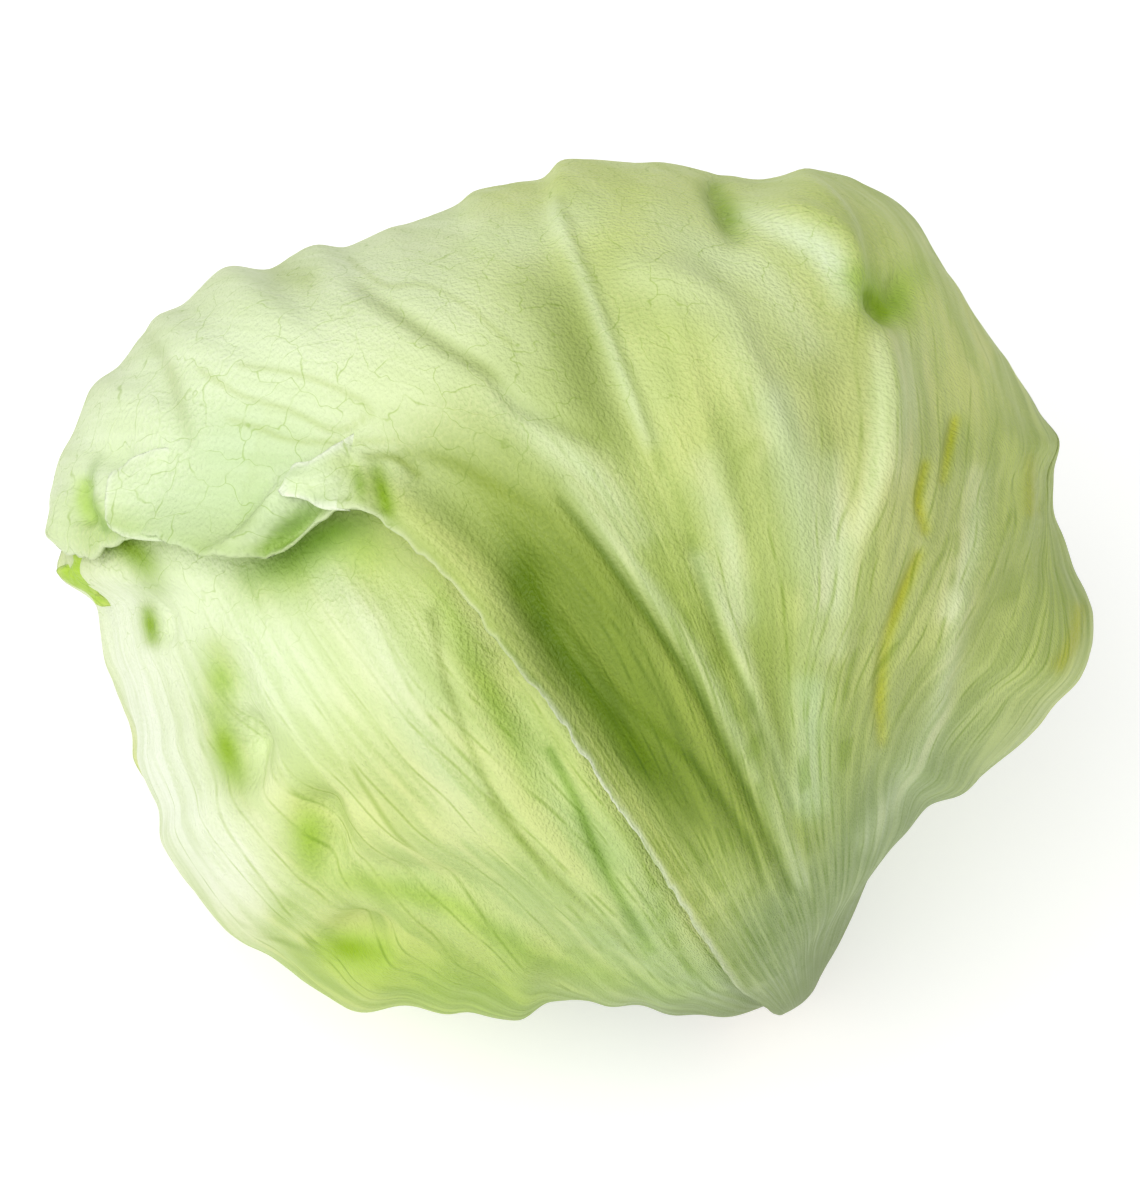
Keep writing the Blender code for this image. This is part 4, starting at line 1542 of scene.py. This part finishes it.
            (-44, 15.6, 1.2), (-47.4, 12.6, 1.6), (-50.2, 9.8, 1.6), (-53.6, 6.8, 1), (-56.4, 4.6, 0.6),
        )),
        # Painted shade below the lip and the ruffle.
        (Tone.FRESH, 4.0, ((-60, 4, 0.5), (-70, 6, 0.6), (-78, 10, 0.5), (-86, 10, 0.5))),
        (Tone.SHADE, 0.9, (
            (-82, 10.8, 0.8), (-84.2, 15, 0.8), (-85, 18, 0.7), (-84.2, 21.6, 0.4), (-82.6, 24, 0.1),
        )),
        (Tone.FRILL, 1.6, ((-86, 18.5, 0.7), (-86, 15.5, 0.95), (-84.6, 12.6, 0.7))),
        (Tone.PALE, 5.0, ((-92, 18, 0.6), (-90, 8, 0.6))),
        # The crown's marks
        (Tone.LEAF, 3.0, ((-51, 56, 0.5), (-47, 55, 0.5))),
        (Tone.OLIVE, 1.5, ((-74.2, 45, 0.2), (-70.7, 38.9, 0.35), (-68.6, 31.8, 0.35), (-66.8, 26.5, 0.3))),
        (Tone.OLIVE, 1.8, (
            (-37.1, 53, 0.3), (-23, 43.3, 0.5), (-14.1, 38, 0.5), (-8.8, 31.8, 0.5), (5.3, 26.5, 0.4),
        )),
        (Tone.MINT, 10.0, ((-62, 24, 0.6), (-50, 20, 0.7), (-70, 14, 0.6))),
        (Tone.LEAF, 0.6, (
            (-65.4, 38.9, 0.3), (-58.3, 34.5, 0.4), (-49.5, 31.8, 0.4), (-42.4, 28.3, 0.4),
            (-38, 29.2, 0.4), (-35.3, 31.8, 0.3), (-38.9, 34.5, 0.4), (-47.7, 38, 0.4), (-58.3, 39.8, 0.3),
        )),
        (Tone.LEAF, 0.6, (
            (-60.1, 30, 0.3), (-54.8, 28.6, 0.4), (-49.5, 26.5, 0.4), (-41.5, 26.1, 0.4), (-30, 26.5, 0.3),
        )),
        (Tone.LEAF, 0.6, (
            (-38.9, 58.3, 0.3), (-32.7, 53.9, 0.4), (-25.6, 53.9, 0.3), (-18, 50, 0.3), (-10, 43, 0.4),
        )),
        (Tone.PALE, 3.2, ((-51, 17, 0.5), (-46, 18.5, 0.75), (-42, 19, 0.5))),
        # Pale ribs and bright folds
        (Tone.CREAM, 2.2, (
            (54.8, 44.2, 0.5), (55.1, 37.1, 0.75), (54.8, 26.5, 0.75), (53, 15.9, 0.7), (49.5, 5.3, 0.5),
            (47.7, -10.6, 0.4),
        )),
        (Tone.LIGHT, 7.0, ((40, 74, 0.6), (56, 62, 0.9), (66, 50, 0.8), (74, 36, 0.6))),
        (Tone.LEAF, 3.0, ((46, 68.5, 0.3), (50, 65.4, 0.6), (53, 62, 0.5))),
        # Painted highlight along the ridge of the right shoulder.
        (Tone.PALE, 3.0, ((31.8, 66.1, 0.6), (40.6, 62.5, 0.95), (45.4, 59, 1.1), (48.8, 53, 0.7))),
        (Tone.CREAM, 5.0, (
            (12.4, 56.5, 0.6), (26.5, 51.2, 0.7), (32, 40.6, 0.6), (38, 26.5, 0.5), (42, 6, 0.4),
        )),
        (Tone.PALE, 1.6, ((-2.7, 67.1, 0.4), (3.5, 53, 0.5), (10.6, 35.3, 0.5), (14.1, 26.5, 0.4))),
        (Tone.PALE, 1.8, ((23, 5.3, 0.4), (30, -10.6, 0.4), (33.6, -23, 0.3), (38.9, -37.1, 0.3))),
        (Tone.MINT, 3.5, ((42.4, -17.7, 0.6), (42.4, -37.1, 0.6))),
        (Tone.PALE, 2.2, ((68.9, -1.8, 0.3), (67.1, -12.4, 0.4), (63.6, -26.5, 0.4), (52, -44, 0.3))),
        (Tone.PALE, 3.5, ((36, 33, 0.4), (40, 20, 0.5), (43, 4, 0.3), (44, -10, 0.3))),
        (Tone.PALE, 2.6, ((46, 22, 0.3), (47, 12, 0.5), (46, -2, 0.4))),
        (Tone.PALE, 3.0, ((24, 22, 0.3), (28, 8, 0.5), (30, -4, 0.4))),
        (Tone.PALE, 2.4, ((72, 20, 0.3), (71, 8, 0.5), (67, -4, 0.4))),
        (Tone.PALE, 3.4, ((-12, 34, 0.3), (-4, 26, 0.5), (4, 20, 0.5), (12, 10, 0.3))),
        (Tone.PALE, 5.0, ((-24, 66, 0.4), (-10, 62, 0.5), (2, 66, 0.4))),
        (Tone.PALE, 4.0, ((16, 66, 0.3), (24, 60, 0.5), (34, 56, 0.5), (42, 44, 0.3))),
        # Dark ribs of the fan
        (Tone.DEEP_GREEN_AND_SHADE, 0.9, (
            (-1.8, 15.9, 0.5), (5.3, 7.1, 0.8), (14.1, -5.3, 0.9), (21.2, -15.9, 0.9), (30.9, -35.3, 0.8),
            (38.9, -53, 0.5),
        )),
        (Tone.PALE, 1.8, (
            (0.5, 18, 0.2), (8, 8.5, 0.4), (17, -4, 0.35), (24, -15, 0.35), (33.5, -34, 0.3),
            (41, -51, 0.3),
        )),
        (Tone.DEEP_GREEN_AND_SHADE, 0.8, ((21.2, 8.8, 0.3), (26.5, -8.8, 0.6), (31.8, -19.4, 0.6), (39, -38, 0.4))),
        (Tone.DEEP_GREEN_AND_SHADE, 0.9, (
            (-1.8, -5.3, 0.5), (8.8, -19.4, 0.7), (21.2, -30, 0.8), (30, -42.4, 0.7), (34, -52, 0.4),
        )),
        (Tone.OLIVE, 0.9, ((-1.8, 68.9, 0.4), (5.3, 51.2, 0.5), (12.4, 33.6, 0.5), (15.9, 21.2, 0.4))),
        # Dents, slits and spots
        # Painted shade in the crease between the shoulder's lobes and in its hollows.
        (Tone.DENT_SHADE, 2.4, ((25.6, 70.7, 0.6), (27.9, 65.7, 0.8), (29.2, 62.7, 0.5))),
        (Tone.FRESH, 3.6, ((51, 55, 0.7), (56, 50, 0.8), (60, 55, 0.5))),
        (Tone.DENT_SHADE, 1.5, ((52.6, 52, 0.8), (55.2, 49, 0.9))),
        (Tone.YELLOW, 0.9, ((68, 30, 0.8), (67.1, 25.6, 0.9), (65.9, 19.4, 0.5))),
        (Tone.YELLOW, 1.0, ((62.7, 22.1, 0.7), (61.5, 15.9, 0.9), (62.7, 10.6, 0.6))),
        (Tone.YELLOW, 1.2, ((81.3, 23, 0.4), (81.3, 14, 0.5))),
        (Tone.YELLOW, 1.1, (
            (61.5, 6.2, 0.6), (58.3, -1.8, 0.9), (55.7, -10.6, 0.6), (54.8, -19.4, 0.8),
            (55.1, -26.5, 0.4),
        )),
        (Tone.YELLOW, 1.5, ((90.1, -3.5, 0.6), (88.9, -8.8, 0.7), (86.6, -13.3, 0.7))),
    ),
)
FRONT_LEAF = LeafPlan(
    name="front_leaf",
    slot="front_leaf",
    ribs=(
        (14, (108, 8), (74, 6), (44, -10)),
        (-4, (112, -10), (78, -12), (44, -22)),
        (-20, (114, -32), (78, -32), (40, -30)),
        (-38, (102, -58), (68, -48), (30, -37)),
        (-58, (78, -80), (52, -64), (20, -42)),
        (-78, (42, -98), (32, -78), (12, -47)),
        (-96, (0, -104), (8, -84), (4, -57)),
        (-112, (-30, -100), (-14, -88), (-4, -74)),
    ),
    lifts=lines_of((4.0, ((-30, -100, 0.5), (-14, -88, 2), (-4, -74, 2.5), (2, -62, 1)))),
    layers=1.0,
    waves=0.4,
    columns=230,
    rows=200,
    ground=Tone.LIGHT,
    rib_count=20.0,
    folds=lines_of(
        (1.8, ((-74.2, -4.5, -1.4), (-74.2, -8, -1.6))),
        (2.6, ((-61.5, -12, -1), (-61.5, -17, -1.2))),
        (2.4, ((-61, -25.6, -2), (-58.7, -34.5, -2.4))),
        (2.6, ((-45.6, -40.6, -1.2), (-45, -50.4, -1.6))),
        (2.6, ((-42, -63, -1.6), (-36, -63.4, -1.6))),
        (2.6, (
            (-39.8, -1.8, 0.2), (-30, -19.4, 0.4), (-19.4, -35.3, 0.5), (-8.8, -53, 0.4),
            (5.3, -63.6, 0.3), (23, -69.8, 0.2),
        )),
        (1.3, ((-3.5, -28.3, -0.5), (1.8, -38.9, -0.7), (5.3, -47.7, -0.7), (14.1, -63.6, -0.5))),
        (1.3, (
            (-24.7, -3.5, -0.4), (-22.1, -15.9, -0.7), (-14.1, -35.3, -0.7), (-5.3, -47.7, -0.7),
            (12.4, -65.4, -0.4),
        )),
        (1.6, ((-38.9, -51.2, -0.6), (-21.2, -55.7, -0.9), (-8.8, -63.6, -0.7), (19.4, -72.4, -0.4))),
    ),
    strokes=strokes_of(
        (Tone.PALE, 22.0, ((-66, 0, 0.9), (-52, -14, 0.9), (-38, -20, 0.5), (-26, -30, 0.2))),
        (Tone.MEADOW, 8.0, ((-38, -50, 0.3), (-26, -52, 0.5), (-12, -57, 0.5))),
        (Tone.MEADOW, 7.0, ((-30, -8, 0.2), (-27, -19, 0.4), (-18, -34, 0.4))),
        (Tone.FROST, 11.0, ((-80, -6, 0.7), (-76, -26, 0.9), (-66, -44, 0.8), (-56, -56, 0.5))),
        (Tone.FRESH, 9.0, ((-48, -66, 0.5), (-32, -68, 0.7), (-16, -72, 0.7), (2, -74, 0.5))),
        # Painted shade at the bottom, towards the stem.
        (Tone.BASE, 11.0, ((22, -72, 0.6), (34, -74, 0.9))),
        # Painted shadow under the top leaf's lip, in green and in the shade tone.
        (Tone.FRESH, 6.0, ((-54, 2, 0.4), (-46, 5, 0.7), (-38, 6, 0.6))),
        (Tone.SHADE, 3.6, ((-56, 3, 0.4), (-49, 6.5, 0.8), (-42, 10.5, 0.9), (-38, 12, 0.6))),
        # Painted shadow under the top leaf's lobe.
        (Tone.DENT_SHADE, 3.2, ((-80, 9, 0.9), (-76, 6, 0.9), (-73.6, 1.4, 0.5))),
        (Tone.FROST, 4.0, ((-42, 2, 0.3), (-35, -9, 0.3), (-27, -24, 0.2), (-18, -42, 0.1))),
        (Tone.MEADOW, 9.0, ((-16, -46, 0.4), (-2, -56, 0.6), (10, -64, 0.8), (22, -70, 0.8))),
        (Tone.FRESH, 2.4, (
            (-24, 2, 0.3), (-18, -11, 0.5), (-13.4, -19.4, 0.65), (-9.4, -28, 0.6), (-5.6, -36, 0.4),
        )),
        (Tone.MEADOW, 5.5, ((-8, -24, 0.3), (-2, -36, 0.7), (6, -46, 0.8), (14, -58, 0.7))),
        # Painted shade along the grooves of the front leaf's folds.
        (Tone.SHADE, 1.0, ((-3.5, -28.3, 0.6), (1.8, -38.9, 0.7), (5.3, -47.7, 0.7), (14.1, -63.6, 0.4))),
        (Tone.OLIVE, 0.6, (
            (-24.7, -3.5, 0.4), (-22.1, -15.9, 0.5), (-14.1, -35.3, 0.5), (-5.3, -47.7, 0.5),
            (12.4, -65.4, 0.3),
        )),
        (Tone.FRESH, 2.4, (
            (-38.9, -51.2, 0.5), (-21.2, -55.7, 0.6), (-8.8, -63.6, 0.4), (19.4, -72.4, 0.3),
        )),
        # Painted shade in the front leaf's dents.
        (Tone.DENT_SHADE, 1.9, ((-74.6, -4, 0.8), (-74.2, -6, 1), (-73.8, -8.4, 0.8))),
        (Tone.FRESH, 3.6, ((-62.4, -11, 0.5), (-61.6, -16, 0.8), (-62, -20, 0.4))),
        (Tone.DENT_SHADE, 3.4, ((-62, -22, 0.5), (-61, -27, 0.95), (-59.4, -32, 0.8), (-58, -37, 0.3))),
        (Tone.FRESH, 4.0, ((-46.6, -38, 0.5), (-46, -43, 0.9), (-45.6, -48, 0.7), (-44, -52, 0.3))),
        (Tone.DENT_SHADE, 2.8, ((-43, -62.6, 0.6), (-39, -63.4, 0.95), (-34, -64, 0.6))),
        (Tone.FRESH, 3.0, ((-51.2, -58.3, 0.4), (-50, -56, 0.4))),
    ),
)
LEFT_LEAF = LeafPlan(
    name="left_leaf",
    slot="left_leaf",
    ribs=(
        (-98, (-12, -102), (-6, -82), (-4, -62)),
        (-112, (-36, -92), (-24, -70), (-10, -48)),
        (-135, (-72, -70), (-46, -50), (-20, -34)),
        (-160, (-96, -34), (-66, -28), (-34, -20)),
        (-184, (-100, 8), (-72, 0), (-40, -8)),
        (-206, (-86, 44), (-64, 28), (-42, 12)),
    ),
    lifts=lines_of((3.0, ((-5, -62, 3), (-9, -67, 2), (-14, -73, 1)))),
    layers=2.2,
    waves=1.0,
    columns=200,
    rows=160,
    teeth=0.7,
    tongues=(
        # The frilled corner at the far left
        Tongue(
            lower=((17.0, -58.5), (14.0, -60.4), (12.0, -59.6), (9.6, -62.0), (7.4, -61.0)),
            upper=((21.0, -52.0), (17.0, -53.4), (13.6, -54.6), (10.8, -56.0), (8.0, -57.6)),
            rise=(1.6, 2.2, 3.0, 3.8, 4.6),
            edge_tone=Tone.LIGHT,
            edge_strength=0.4,
            body_tone=Tone.FRILL,
            body_strength=0.65,
            crinkle=1.4,
        ),
    ),
    strokes=strokes_of((Tone.FRILL, 8.0, ((-86, 4, 1), (-82, -4, 1)))),
)
RIGHT_LEAF = LeafPlan(
    name="right_leaf",
    slot="right_leaf",
    ribs=(
        (84, (8, 100), (-4, 80), (-18, 52)),
        (102, (-32, 98), (-34, 74), (-32, 44)),
        (120, (-66, 78), (-54, 52), (-38, 28)),
        (138, (-90, 50), (-70, 26), (-44, 10)),
        (156, (-102, 22), (-78, 0), (-50, -8)),
        (172, (-104, -2), (-80, -20), (-56, -22)),
    ),
    lifts=lines_of((4.0, ((-104, -2, 1), (-92, -14, 3), (-80, -20, 1), (-68, -22, 3), (-56, -22, 1)))),
    layers=1.2,
    waves=0.8,
    columns=200,
    rows=160,
    teeth=0.5,
)


def main() -> None:
    """Builds the lettuce piece by piece, then the studio round it."""
    logging.basicConfig(level=logging.INFO, format="%(message)s")
    head = HeadForm()
    pieces = [Stem(head, StemFinish()).build(), Heart(head, HeartFinish()).build()]
    for plan in (TOP_LEAF, FRONT_LEAF, LEFT_LEAF, RIGHT_LEAF):
        pieces.append(Leaf(head, plan, LeafFinish(f"{plan.name}_finish")).build())
    for piece in pieces:
        log.info("%s: %d faces", piece.name, len(piece.data.polygons))
    studio = Studio(head)
    studio.lay_floor()
    studio.light()
    studio.place_camera()


if __name__ == "__main__":
    main()
